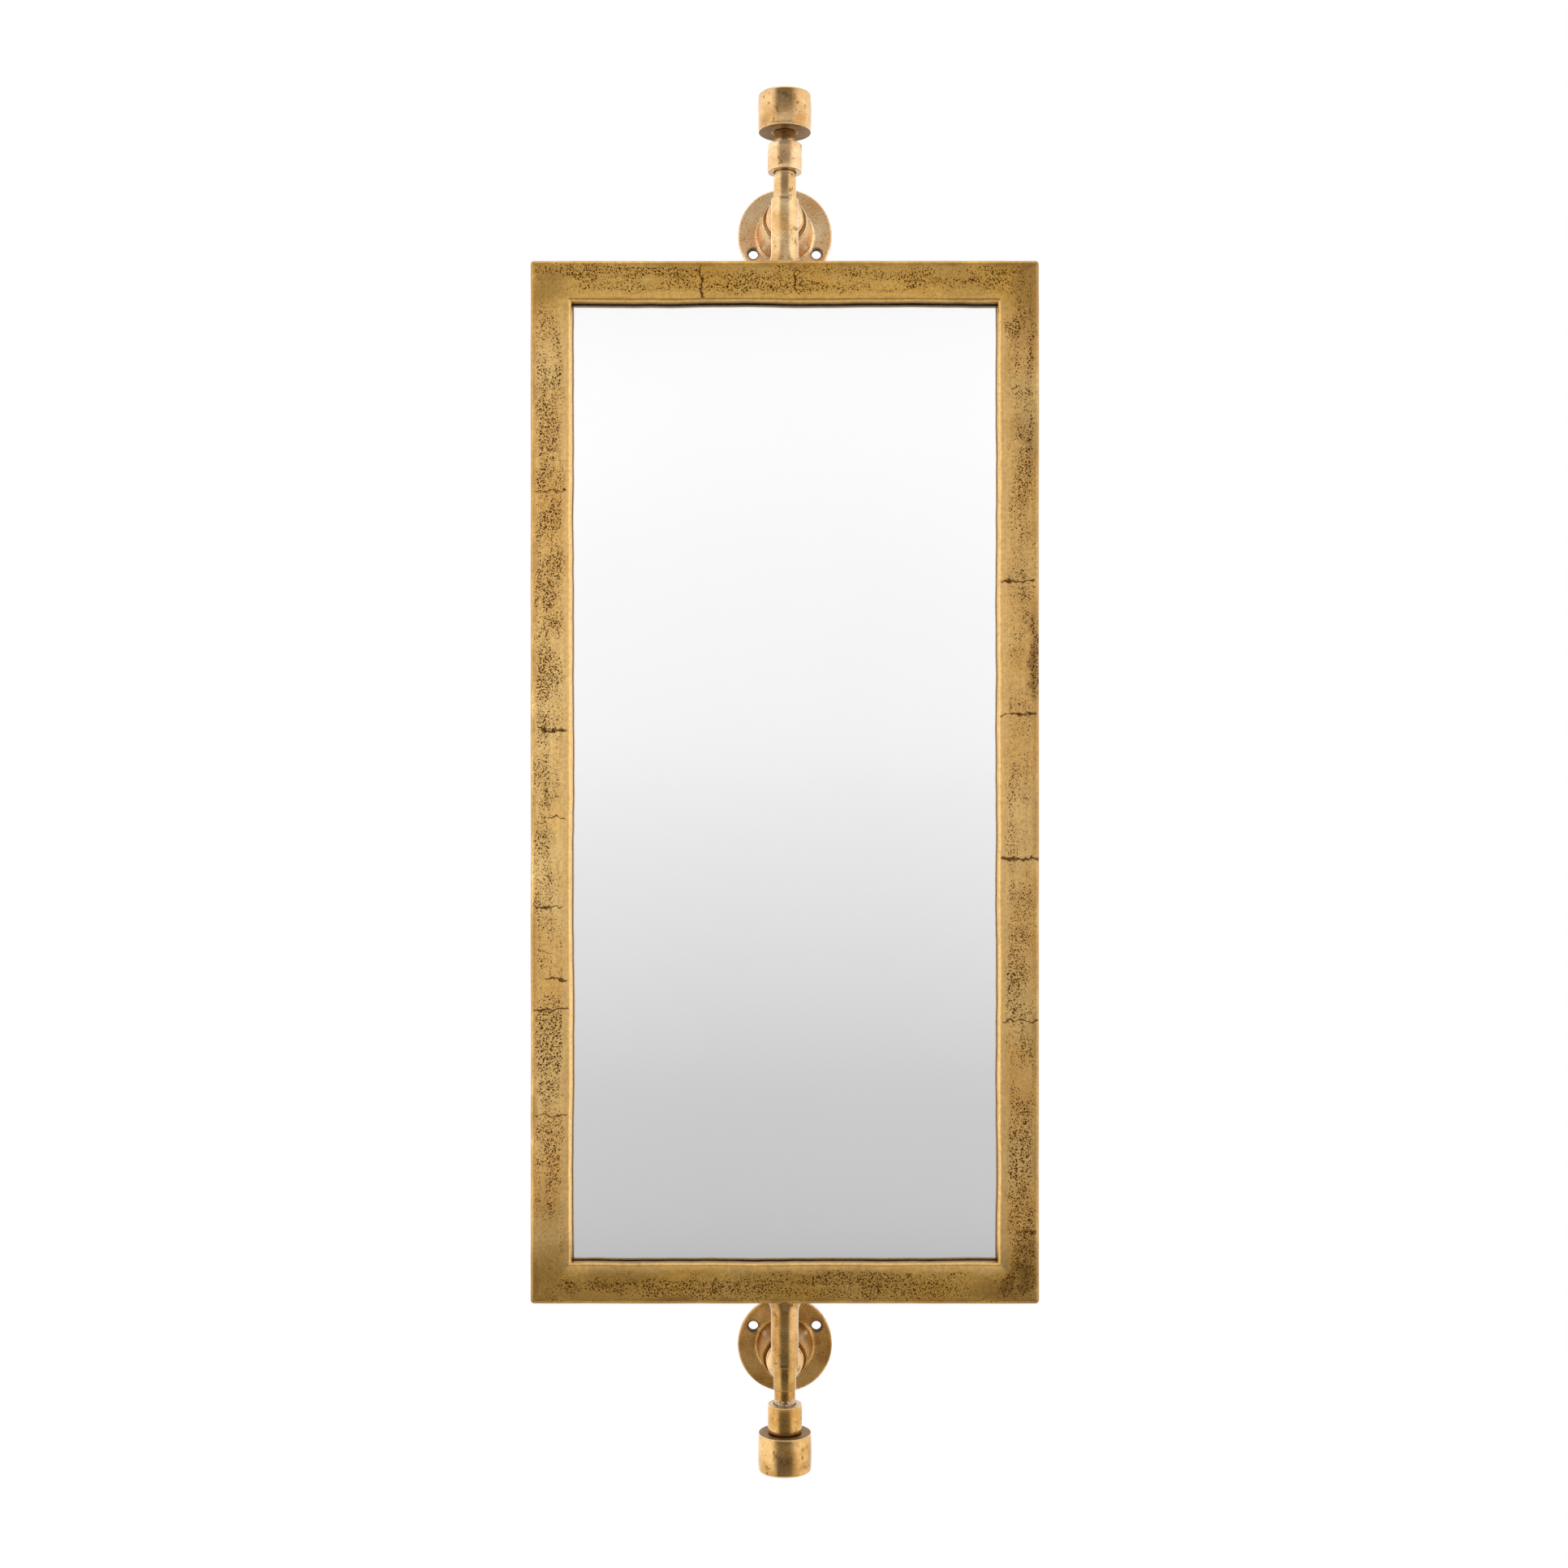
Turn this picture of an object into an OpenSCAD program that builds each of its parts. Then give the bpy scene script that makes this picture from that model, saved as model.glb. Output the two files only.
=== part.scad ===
// Pivot wall mirror, millimetres, +Z up.
// A cast frame with a sunk glass turns about a vertical axis between two wall brackets.
// The origin is the centre of the top bracket's plate on the wall. The wall is the plane y = 0
// and the glass looks along -Y.

/* [Frame] */
// Width over the frame
frame_w = 336.5; // [240:0.5:480]
// Height over the frame
frame_h = 690; // [400:1:1000]
// Width of the frame's bar, seen from the front
bar_w = 27.5; // [25:0.5:45]
// Thickness of the frame, front to back
frame_t = 20; // [18:0.5:30]
// Rise of the bar's crowned front
crown = 0.8; // [0.3:0.1:1.5]
// Radius of the bar's front edges
edge_r = 2.5; // [1:0.5:4]
// Radius of the bar's outer edge at the back
back_edge_r = 1; // [0.5:0.5:3]
// Radius of the frame's outer corners
corner_r = 2; // [1:0.5:6]
// Thickness of the lip in front of the glass
lip_t = 6.2; // [5:0.1:8]
// How far the lip covers the glass
lip_cover = 7; // [5:0.5:9]

/* [Glass and back] */
// Thickness of the foam strip between lip and glass
gasket_t = 0.8; // [0.5:0.1:2]
// Width of the foam strip
gasket_w = 5; // [3:0.5:6]
// Thickness of the mirror glass
glass_t = 4; // [3:0.5:6]
// Bevel ground on the glass edges
glass_bevel = 0.4; // [0.2:0.1:0.8]
// Thickness of the hardboard behind the glass
board_t = 3; // [2:0.5:4]
// Corner radius of the hardboard and of the card packing behind it
board_corner_r = 1; // [0.5:0.5:3]
// Thickness of the sheet metal back panel
panel_t = 1; // [0.8:0.1:2]
// Width of the ledge that the back panel lies on
panel_land = 9; // [7:0.5:12]
// Corner radius of the back panel
panel_corner_r = 3; // [1:0.5:6]
// Diameter of the back panel's screws
panel_screw_d = 3; // [2.5:0.5:4]
// Length of their thread in the frame
panel_screw_l = 9; // [5:1:10]
// Screws along each upright side of the panel
panel_screws_side = 4; // [2:1:8]
// Screws along the top and along the bottom of the panel
panel_screws_end = 2; // [2:2:6]
// From a corner of the panel to the first screw
panel_screw_inset = 22; // [15:1:40]

/* [Post and spindle] */
// Diameter of the post on the frame
post_d = 18.6; // [16:0.1:24]
// Length of the post
post_l = 43; // [20:0.5:90]
// Diameter of the post's flared foot
flare_d = 23.6; // [22:0.1:30]
// Height of the flare
flare_h = 7.5; // [4:0.5:15]
// How far the foot's brazed edge laps down over the rail
flare_lap = 2.2; // [1:0.1:4]
// How far the foot's flat front and back stay inside the frame's faces
flare_inset = 0.25; // [0.1:0.05:0.5]
// Radius of the edge at the post's end
post_edge_r = 0.5; // [0.2:0.1:1]
// Diameter of the spindle between post and shoulder
spindle_d = 15; // [13:0.1:16]
// Length of the spindle between post and shoulder
spindle_l = 15.6; // [8:0.1:40]
// Diameter of the journal that turns in the eye
journal_d = 14; // [12:0.1:14.4]
// Length of the journal between shoulder and cap
journal_l = 28.4; // [27.5:0.1:50]
// Diameter of the threaded ends of the spindle
thread_d = 10; // [8:0.5:11]
// Radius of the edge at the spindle's shoulder
shoulder_edge_r = 0.4; // [0.2:0.05:0.5]
// Depth of the spindle's thread in the frame's rail
rail_thread_l = 12; // [8:0.5:14]
// Room below the thread in the rail's hole
rail_hole_room = 2; // [1:0.5:4]

/* [End cap] */
// Diameter of the cap
cap_d = 36; // [30:0.1:45]
// Height of the cap
cap_h = 25.4; // [18:0.1:40]
// Swell of the cap's side beyond its ends
cap_swell = 0.35; // [0.1:0.05:0.8]
// Radius of the edge at the cap's outer end
cap_edge_r = 1.6; // [1:0.1:3]
// Radius of the cap's edge next to the eye
cap_foot_r = 0.8; // [0.3:0.1:1]
// Depth of the dished recess round the journal
dish_depth = 0.6; // [0.3:0.1:1.2]
// Diameter of the dished recess
dish_d = 18; // [17.5:0.5:29]
// Width of the recess's floor round the journal
dish_floor = 1; // [0.5:0.1:1.5]
// Depth of the thread in the cap
cap_thread_l = 15; // [9:0.5:16]
// Diameter of the cap's set screw
set_screw_d = 5; // [3:0.5:6]
// Length of the cap's set screw
set_screw_l = 8; // [4:0.5:9]
// Width across the flats of its hexagon socket
set_screw_key = 2.5; // [1.5:0.5:3]

/* [Eye] */
// Diameter of the eye
eye_d = 23.2; // [20.5:0.1:30]
// Height of the eye
eye_l = 18.5; // [16:0.5:19]
// Radius of the eye's edges
eye_edge_r = 0.8; // [0.4:0.1:2]
// Bore of the eye, which holds the bush
eye_bore_d = 15.5; // [15.2:0.1:16.5]
// How far the bush lies inside the eye's faces
bush_inset = 0.4; // [0.2:0.1:1]
// Diameter of the neck behind the eye
neck_d = 15; // [13:0.5:16]
// Length of the neck behind the eye
neck_l = 3.5; // [2.5:0.5:10]
// Up and down play of the mirror between the two eyes
mirror_play = 8.4; // [2:0.1:9]
// Gap between the bottom cap and the bottom eye
play_below = 0.4; // [0.3:0.1:1]

/* [Arm] */
// From the wall to the axis of the spindles
arm_reach = 175; // [172:0.5:300]
// Diameter of the arm
arm_d = 13; // [10:0.5:14]
// Diameter of the arm's collar in the socket
collar_d = 27.8; // [25:0.1:30]
// Height of the collar
collar_h = 10.5; // [6:0.5:15]
// Diameter of the dome above the collar
dome_d = 26.7; // [24:0.1:28]
// Radius of the collar's front edge
collar_edge_r = 1.2; // [0.4:0.1:1.5]
// Straight side below the dome's curve
dome_skirt = 1.5; // [0.5:0.1:4]
// Width of the groove between collar and dome
groove_w = 1; // [0.5:0.1:2]
// Depth of the groove below the dome's side
groove_depth = 0.6; // [0.3:0.1:1]
// Radius of the fillet between dome and arm
dome_fillet_r = 3; // [1:0.5:6]
// Diameter of the arm's spigot in the plate
spigot_d = 20; // [16:0.5:22]
// Diameter of the tenon that holds the eye
tenon_d = 8; // [6:0.5:9]
// Wall left between the tenon and the eye's bore
tenon_wall = 1; // [0.6:0.1:2]

/* [Wall plate] */
// Diameter of the plate
plate_d = 71; // [68:0.5:100]
// Thickness of the plate
plate_t = 5.5; // [4:0.5:8]
// Radius of the plate's front edge
plate_edge_r = 1.5; // [0.5:0.1:3]
// Diameter of the boss where it meets the plate
boss_base_d = 41.4; // [39:0.1:43]
// Diameter of the boss at its rim
boss_rim_d = 34.3; // [33.6:0.1:38]
// From the wall to the rim of the boss
boss_h = 40.5; // [35:0.5:60]
// Radius of the fillet between plate and boss
boss_fillet_r = 3.2; // [1.5:0.1:4]
// Radius of the boss's rim
rim_r = 0.8; // [0.3:0.1:0.8]
// Diameter of the socket's mouth
mouth_d = 31.8; // [31:0.1:32]
// Depth of the socket's mouth
mouth_depth = 3.5; // [2:0.5:6]
// Diameter of the circle of wall screws
screw_pcd = 55; // [54:0.5:56]
// Number of wall screws in a plate
screw_count = 3; // [3:1:6]
// Diameter of the wall screw holes
screw_hole_d = 7.3; // [5:0.1:7.5]
// Diameter of their countersinks
screw_sink_d = 9.7; // [8:0.1:10]

/* [Arm screw] */
// Diameter of the screw that holds the arm
arm_screw_d = 8; // [6:1:9]
// Diameter of its head
arm_screw_head_d = 13; // [12:0.5:14]
// Height of its head
arm_screw_head_h = 8; // [6:0.5:8.5]
// Width across the flats of its hexagon socket
arm_screw_key = 6; // [4:1:7]
// Length of its thread in the arm
arm_screw_grip = 14; // [8:0.5:14]
// Depth of the plate's recess for the washer and the head
recess_depth = 11; // [10:0.5:13]
// Room round the head in that recess, on the diameter
recess_room = 2; // [1:0.5:3]
// Thickness of the lock washer
washer_t = 1.6; // [1:0.1:2]
// Thickness of the web between washer and spigot
web_t = 6; // [4:0.5:8]

/* [Clearances] */
// Round the glass, board and panel in the frame, and between foam strips
pocket_clear = 0.75; // [0.3:0.05:1.5]
// Radial, round threads, tenons and spigots
fit_clear = 0.05; // [0.02:0.01:0.1]
// Radial, between journal and bush
journal_clear = 0.15; // [0.1:0.01:0.25]
// Radial, round screws that pass through a piece
screw_clear = 0.3; // [0.1:0.1:0.6]

/* [Hidden] */
$fn = 96;
// Extra length of a cutter beyond the face it leaves
cut = 1;

axis_y = -arm_reach;
open_w = frame_w - 2 * bar_w;
open_h = frame_h - 2 * bar_w;

// Depths from the frame's front
glass_v = lip_t + gasket_t;
board_v = glass_v + glass_t;
packing_v = board_v + board_t;
panel_v = frame_t - panel_t;
packing_t = panel_v - packing_v;

// Heights above the middle of the mirror
post_z = frame_h / 2;
spindle_z = post_z + post_l;
shoulder_z = spindle_z + spindle_l;
cap_z = shoulder_z + journal_l;
rail_hole_l = rail_thread_l + rail_hole_room;
play_above = mirror_play - play_below;
eye_spacing = 2 * cap_z - eye_l - mirror_play;
mid_z = play_above + eye_l / 2 - cap_z;

// Distances from the wall
mouth_floor = boss_h - mouth_depth;
spigot_end = recess_depth + web_t;
collar_end = mouth_floor + collar_h;
dome_base = collar_end + groove_w + dome_skirt;
neck_end = arm_reach - eye_d / 2 - neck_l;
tenon_end = arm_reach - eye_bore_d / 2 - tenon_wall;

brass = "#b8935a";
cast_brass = "#ad8647";
steel = "#a8a8a6";
black = "#2a2a2a";

// ---- Placing: side is 1 at the top and -1 at the bottom ----

// The origin is the middle of the mirror on the spindles' axis, and +Z runs outwards on that side
module on_mirror(side) {
    translate([0, axis_y, mid_z]) mirror([0, 0, side > 0 ? 0 : 1]) children();
}

// The origin is the middle of that side's plate on the wall, and +Z runs outwards
module on_bracket(side) {
    translate([0, 0, side > 0 ? 0 : -eye_spacing]) mirror([0, 0, side > 0 ? 0 : 1]) children();
}

// Lays +Z along -Y, away from the wall, and +Y along +Z
module from_wall() {
    rotate([90, 0, 0]) children();
}

// The origin is the middle of the mirror, v deep from the frame's front
module at_depth(v) {
    translate([0, axis_y - frame_t / 2 + v, mid_z]) children();
}

// ---- Profiles ----

// Waste outside a round of radius r on the corner (x, z), which points outwards and up
module edge_waste(x, z, r, out = 1, up = 1) {
    translate([x, z]) mirror([out > 0 ? 0 : 1, 0]) mirror([0, up > 0 ? 0 : 1])
        translate([-r, -r]) difference() {
            square(r + cut);
            circle(r);
        }
}

// Half profile of a disc from z0 to z1 with rounded edges
module disc_profile(d, z0, z1, r) {
    difference() {
        translate([0, z0]) square([d / 2, z1 - z0]);
        edge_waste(d / 2, z0, r, up = -1);
        edge_waste(d / 2, z1, r);
    }
}

// Block w wide and depth deep whose side y = 0 is an arc that rises by rise in the middle
// and runs smoothly into edges of radius r
module crowned_block(w, depth, rise, r) {
    arc_r = (w * w / 4 + rise * rise) / (2 * rise);
    dx = w / 2 - r;
    dy = sqrt(pow(arc_r - r, 2) - dx * dx);
    centre = [r, arc_r - dy];
    touch = [w / 2, arc_r] - [dx, dy] * arc_r / (arc_r - r);
    difference() {
        intersection() {
            square([w, depth]);
            translate([w / 2, arc_r]) circle(arc_r, $fn = 360);
        }
        for (far = [0, 1]) translate([far * w, 0]) mirror([far, 0]) difference() {
            polygon([[-cut, -cut], [touch[0], -cut], touch, centre, [-cut, centre[1]]]);
            translate(centre) circle(r);
        }
    }
}

// Section of the frame's bar: x runs outwards from the opening and y back from the front
module bar_section() {
    difference() {
        crowned_block(bar_w, frame_t, crown, edge_r);
        edge_waste(bar_w, frame_t, back_edge_r);
        translate([-cut, lip_t]) square([lip_cover + cut, frame_t]);
        translate([-cut, panel_v]) square([lip_cover + panel_land + cut, frame_t]);
    }
}

// ---- Frame ----

// One side of the frame, cut at its mitres: half_open is from the middle to the bar,
// half_along is half of the opening's other size
module mitred_bar(half_open, half_along) {
    reach = half_along + bar_w;
    intersection() {
        translate([half_open, -frame_t / 2, -reach]) linear_extrude(2 * reach) bar_section();
        rotate([90, 0, 0]) linear_extrude(frame_t + 2 * cut, center = true) polygon([
            [half_open - cut, cut - half_along],
            [half_open + bar_w + cut, -reach - cut],
            [half_open + bar_w + cut, reach + cut],
            [half_open - cut, half_along - cut]
        ]);
    }
}

// Block with rounded upright corners, centred, w by h in front view and t thick
module rounded_block(w, h, t, r) {
    rotate([90, 0, 0]) linear_extrude(t, center = true) {
        square([w - 2 * r, h], center = true);
        square([w, h - 2 * r], center = true);
        for (x = [-1, 1], z = [-1, 1]) translate([x * (w / 2 - r), z * (h / 2 - r)]) circle(r);
    }
}

// Puts its child at each screw of the back panel, with +Z running forwards from the panel's back
module at_panel_screws() {
    x = open_w / 2 + lip_cover + panel_land / 2;
    z = open_h / 2 + lip_cover + panel_land / 2;
    side_pitch = 2 * (z - panel_screw_inset) / (panel_screws_side - 1);
    end_pitch = 2 * x / (panel_screws_end + 1);
    at_depth(frame_t) {
        for (s = [-1, 1], i = [0 : panel_screws_side - 1])
            translate([s * x, 0, panel_screw_inset - z + i * side_pitch]) from_wall() children();
        for (s = [-1, 1], i = [1 : panel_screws_end])
            translate([i * end_pitch - x, 0, s * z]) from_wall() children();
    }
}

module frame() {
    color(cast_brass) difference() {
        on_mirror(1) intersection() {
            for (turn = [0, 180]) rotate([0, turn, 0]) {
                mitred_bar(open_w / 2, open_h / 2);
                rotate([0, -90, 0]) mitred_bar(open_h / 2, open_w / 2);
            }
            rounded_block(frame_w, frame_h, frame_t + 2 * cut, corner_r);
        }
        for (side = [-1, 1]) on_mirror(side) translate([0, 0, post_z - rail_hole_l])
            cylinder(d = thread_d + 2 * fit_clear, h = rail_hole_l + cut);
        at_panel_screws() cylinder(d = panel_screw_d, h = panel_t + panel_screw_l);
    }
}

// ---- Glass and back ----

// A flat sheet that lies v deep in the frame and is grow larger than the opening on each side
module sheet(grow, v, t, r) {
    at_depth(v + t / 2) rounded_block(open_w + 2 * grow, open_h + 2 * grow, t, r);
}

// Four foam strips behind the lip, the upright ones full length
module glass_gasket() {
    near = (lip_cover - gasket_w) / 2;
    color(black) at_depth(lip_t + gasket_t / 2) for (s = [-1, 1]) {
        translate([s * (open_w / 2 + near + gasket_w / 2), 0, 0])
            cube([gasket_w, gasket_t, open_h + 2 * (near + gasket_w)], center = true);
        translate([0, 0, s * (open_h / 2 + near + gasket_w / 2)])
            cube([open_w + 2 * (near - pocket_clear), gasket_t, gasket_w], center = true);
    }
}

// Section through the glass with its ground bevels, l long
module glass_section(l) {
    b = glass_bevel;
    polygon([[-l / 2, b], [b - l / 2, 0], [l / 2 - b, 0], [l / 2, b],
        [l / 2, glass_t - b], [l / 2 - b, glass_t], [b - l / 2, glass_t], [-l / 2, glass_t - b]]);
}

module mirror_glass() {
    w = open_w + 2 * (lip_cover - pocket_clear);
    h = open_h + 2 * (lip_cover - pocket_clear);
    color("silver") at_depth(glass_v) intersection() {
        linear_extrude(h, center = true) glass_section(w);
        rotate([0, -90, 0]) linear_extrude(w, center = true) glass_section(h);
    }
}

module backing_board() {
    color("#7a5a3a") sheet(lip_cover - pocket_clear, board_v, board_t, board_corner_r);
}

// Corrugated card that the back panel presses against the hardboard
module card_packing() {
    color("#b09060") sheet(lip_cover - pocket_clear, packing_v, packing_t, board_corner_r);
}

module back_panel() {
    color(black) difference() {
        sheet(lip_cover + panel_land - pocket_clear, panel_v, panel_t, panel_corner_r);
        at_panel_screws() translate([0, 0, -cut])
            cylinder(d = panel_screw_d + 2 * screw_clear, h = panel_t + 2 * cut);
    }
}

// Round-headed screws with a cross recess
module back_panel_screws() {
    head_d = 1.9 * panel_screw_d;
    head_h = 0.6 * panel_screw_d;
    dome_r = (head_d * head_d / 4 + head_h * head_h) / (2 * head_h);
    color(steel) at_panel_screws() difference() {
        union() {
            cylinder(d = panel_screw_d, h = panel_t + panel_screw_l);
            rotate_extrude() intersection() {
                translate([0, -head_h]) square([head_d / 2, head_h]);
                translate([0, dome_r - head_h]) circle(dome_r);
            }
        }
        for (a = [0, 90]) rotate(a) translate([0, 0, -head_h])
            cube([head_d / 2, panel_screw_d / 4, head_h], center = true);
    }
}

// ---- Posts, spindles and caps ----

// A sleeve whose foot flares out along the rail and is brazed over its edges
module post() {
    rise = (flare_d - post_d) / 2;
    flare_r = (rise * rise + flare_h * flare_h) / (2 * rise);
    toe_r = min(frame_t, flare_d - 1) / 2;
    foot_t = max(frame_t, post_d + 4 * flare_inset) - 2 * flare_inset;
    color(brass) difference() {
        intersection() {
            rotate_extrude() difference() {
                polygon([[0, post_z - flare_lap], [toe_r, post_z - flare_lap],
                    [flare_d / 2, post_z], [flare_d / 2, post_z + flare_h],
                    [post_d / 2, post_z + flare_h], [post_d / 2, spindle_z], [0, spindle_z]]);
                translate([post_d / 2 + flare_r, post_z + flare_h]) circle(flare_r);
                edge_waste(post_d / 2, spindle_z, post_edge_r);
            }
            translate([-flare_d, -foot_t / 2, post_z - flare_lap - cut])
                cube([2 * flare_d, foot_t, flare_lap + post_l + 2 * cut]);
        }
        translate([0, 0, post_z - flare_lap - cut])
            cylinder(d = thread_d + 2 * fit_clear, h = flare_lap + post_l + 2 * cut);
        rotate([0, -90, 0]) translate([open_h / 2, -frame_t / 2, -flare_d])
            linear_extrude(2 * flare_d) bar_section();
    }
}

// Turned in one piece: thread in post and rail, spindle, shoulder, journal, thread in the cap
module spindle() {
    journal_end = cap_z + dish_depth;
    color(brass) rotate_extrude() difference() {
        polygon([[0, post_z - rail_thread_l], [thread_d / 2, post_z - rail_thread_l],
            [thread_d / 2, spindle_z], [spindle_d / 2, spindle_z], [spindle_d / 2, shoulder_z],
            [journal_d / 2, shoulder_z], [journal_d / 2, journal_end], [thread_d / 2, journal_end],
            [thread_d / 2, journal_end + cap_thread_l], [0, journal_end + cap_thread_l]]);
        edge_waste(spindle_d / 2, shoulder_z, shoulder_edge_r);
    }
}

// Lays +Z along the cap's set screw, outwards from the thread it presses on
module at_set_screw() {
    translate([0, thread_d / 2 + fit_clear, cap_z + cap_h / 2]) rotate([-90, 0, 0]) children();
}

// A knob with swelled sides, dished round the journal, screwed and locked on the spindle
module cap() {
    end_r = cap_d / 2 - cap_swell;
    color(brass) difference() {
        translate([0, 0, cap_z]) rotate_extrude() difference() {
            polygon([[0, 0], [end_r, 0], for (u = [-1 : 0.2 : 1])
                [cap_d / 2 - cap_swell * u * u, cap_h / 2 + u * (cap_h / 2 - cap_edge_r)],
                [end_r, cap_h], [0, cap_h]]);
            edge_waste(end_r, 0, cap_foot_r, up = -1);
            edge_waste(end_r, cap_h, cap_edge_r);
        }
        translate([0, 0, cap_z]) cylinder(d = thread_d + 2 * fit_clear,
            h = dish_depth + cap_thread_l + cut);
        translate([0, 0, cap_z - cut]) cylinder(d = dish_d, h = cut);
        translate([0, 0, cap_z])
            cylinder(d1 = dish_d, d2 = journal_d + 2 * dish_floor, h = dish_depth);
        at_set_screw() translate([0, 0, -thread_d / 2])
            cylinder(d = set_screw_d + 2 * fit_clear, h = cap_d);
    }
}

module cap_set_screw() {
    color(steel) at_set_screw() difference() {
        cylinder(d = set_screw_d, h = set_screw_l);
        translate([0, 0, set_screw_l / 2])
            cylinder(d = set_screw_key / cos(30), h = set_screw_l, $fn = 6);
    }
}

// ---- Brackets ----

// A ring on a short neck, drilled for the arm's tenon
module eye() {
    color(brass) difference() {
        union() {
            translate([0, axis_y, 0]) rotate_extrude()
                disc_profile(eye_d, -eye_l / 2, eye_l / 2, eye_edge_r);
            from_wall() translate([0, 0, neck_end]) cylinder(d = neck_d, h = arm_reach - neck_end);
        }
        translate([0, axis_y, -eye_l / 2 - cut]) cylinder(d = eye_bore_d, h = eye_l + 2 * cut);
        from_wall() translate([0, 0, neck_end - cut])
            cylinder(d = tenon_d + 2 * fit_clear, h = tenon_end - neck_end + cut + fit_clear);
    }
}

// A thin sleeve pressed into the eye, in which the journal turns
module eye_bush() {
    bush_l = eye_l - 2 * bush_inset;
    color(black) translate([0, axis_y, -bush_l / 2]) difference() {
        cylinder(d = eye_bore_d, h = bush_l);
        translate([0, 0, -cut])
            cylinder(d = journal_d + 2 * journal_clear, h = bush_l + 2 * cut);
    }
}

// Turned in one piece: spigot, collar, groove, dome, arm and tenon
module arm() {
    fillet_x = arm_d / 2 + dome_fillet_r;
    fillet_z = dome_base + sqrt(pow(dome_d / 2 + dome_fillet_r, 2) - fillet_x * fillet_x);
    dome_part = (dome_d / 2) / (dome_d / 2 + dome_fillet_r);
    touch = [fillet_x * dome_part, dome_base + (fillet_z - dome_base) * dome_part];
    color(brass) difference() {
        from_wall() rotate_extrude() {
            translate([0, spigot_end]) square([spigot_d / 2, collar_end - spigot_end]);
            difference() {
                translate([0, mouth_floor]) square([collar_d / 2, collar_h]);
                edge_waste(collar_d / 2, collar_end, collar_edge_r);
            }
            translate([0, mouth_floor])
                square([dome_d / 2 - groove_depth, collar_h + groove_w + dome_skirt]);
            translate([0, collar_end + groove_w]) square([dome_d / 2, dome_skirt]);
            intersection() {
                translate([0, dome_base]) circle(dome_d / 2);
                translate([0, dome_base]) square(dome_d / 2);
            }
            difference() {
                polygon([[0, dome_base], touch, [fillet_x, fillet_z], [arm_d / 2, fillet_z],
                    [0, fillet_z]]);
                translate([fillet_x, fillet_z]) circle(dome_fillet_r);
            }
            translate([0, dome_base]) square([arm_d / 2, neck_end - dome_base]);
            translate([0, dome_base]) square([tenon_d / 2, tenon_end - dome_base]);
        }
        from_wall() translate([0, 0, spigot_end - cut])
            cylinder(d = arm_screw_d + 2 * fit_clear, h = arm_screw_grip + 2 * cut);
    }
}

// Puts its child at each wall screw, with +Z away from the wall, the first one outermost
module at_wall_screws() {
    for (i = [0 : screw_count - 1])
        from_wall() rotate(90 + i * 360 / screw_count) translate([screw_pcd / 2, 0, 0]) children();
}

// A round casting with a tapered boss, whose socket takes the arm
module wall_plate() {
    lean = atan((boss_base_d - boss_rim_d) / 2 / (boss_h - rim_r - plate_t));
    base = boss_base_d / 2;
    fillet_x = base + boss_fillet_r * (1 - sin(lean)) / cos(lean);
    fillet_z = plate_t + boss_fillet_r;
    sink_h = (screw_sink_d - screw_hole_d) / 2;
    color(brass) difference() {
        from_wall() rotate_extrude() {
            difference() {
                square([plate_d / 2, plate_t]);
                edge_waste(plate_d / 2, plate_t, plate_edge_r);
            }
            difference() {
                polygon([[0, plate_t / 2], [base, plate_t / 2], [base, plate_t],
                    [boss_rim_d / 2, boss_h - rim_r], [boss_rim_d / 2, boss_h], [0, boss_h]]);
                edge_waste(boss_rim_d / 2, boss_h, rim_r);
                translate([0, mouth_floor]) square([mouth_d / 2, mouth_depth + cut]);
                edge_waste(mouth_d / 2, boss_h, rim_r, out = -1);
            }
            difference() {
                polygon([[base - cut, plate_t / 2], [fillet_x, plate_t / 2], [fillet_x, fillet_z],
                    [fillet_x, fillet_z] - boss_fillet_r * [cos(lean), sin(lean)],
                    [base - cut, plate_t]]);
                translate([fillet_x, fillet_z]) circle(boss_fillet_r);
            }
        }
        from_wall() {
            translate([0, 0, spigot_end])
                cylinder(d = spigot_d + 2 * fit_clear, h = mouth_floor - spigot_end + cut);
            translate([0, 0, -cut])
                cylinder(d = arm_screw_d + 2 * screw_clear, h = boss_h);
            translate([0, 0, -cut])
                cylinder(d = arm_screw_head_d + recess_room, h = recess_depth + cut);
        }
        at_wall_screws() {
            translate([0, 0, -cut]) cylinder(d = screw_hole_d, h = plate_t + 2 * cut);
            translate([0, 0, plate_t - sink_h])
                cylinder(d1 = screw_hole_d, d2 = screw_sink_d, h = sink_h);
            translate([0, 0, plate_t]) cylinder(d = screw_sink_d, h = cut);
        }
    }
}

// A socket screw that pulls the arm into the plate from behind
module arm_screw() {
    under_head = recess_depth - washer_t;
    color(steel) from_wall() difference() {
        union() {
            translate([0, 0, under_head - arm_screw_head_h])
                cylinder(d = arm_screw_head_d, h = arm_screw_head_h);
            translate([0, 0, under_head - arm_screw_head_h / 2]) cylinder(d = arm_screw_d,
                h = arm_screw_head_h / 2 + washer_t + web_t + arm_screw_grip);
        }
        translate([0, 0, under_head - arm_screw_head_h - cut])
            cylinder(d = arm_screw_key / cos(30), h = arm_screw_head_h / 2 + cut, $fn = 6);
    }
}

// A split lock washer under the screw's head
module arm_washer() {
    color(steel) from_wall() translate([0, 0, recess_depth - washer_t]) difference() {
        cylinder(d = arm_screw_head_d, h = washer_t);
        translate([0, 0, -cut])
            cylinder(d = arm_screw_d + 2 * screw_clear, h = washer_t + 2 * cut);
        translate([0, -washer_t / 4, -cut])
            cube([arm_screw_head_d, washer_t / 2, washer_t + 2 * cut]);
    }
}

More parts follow.
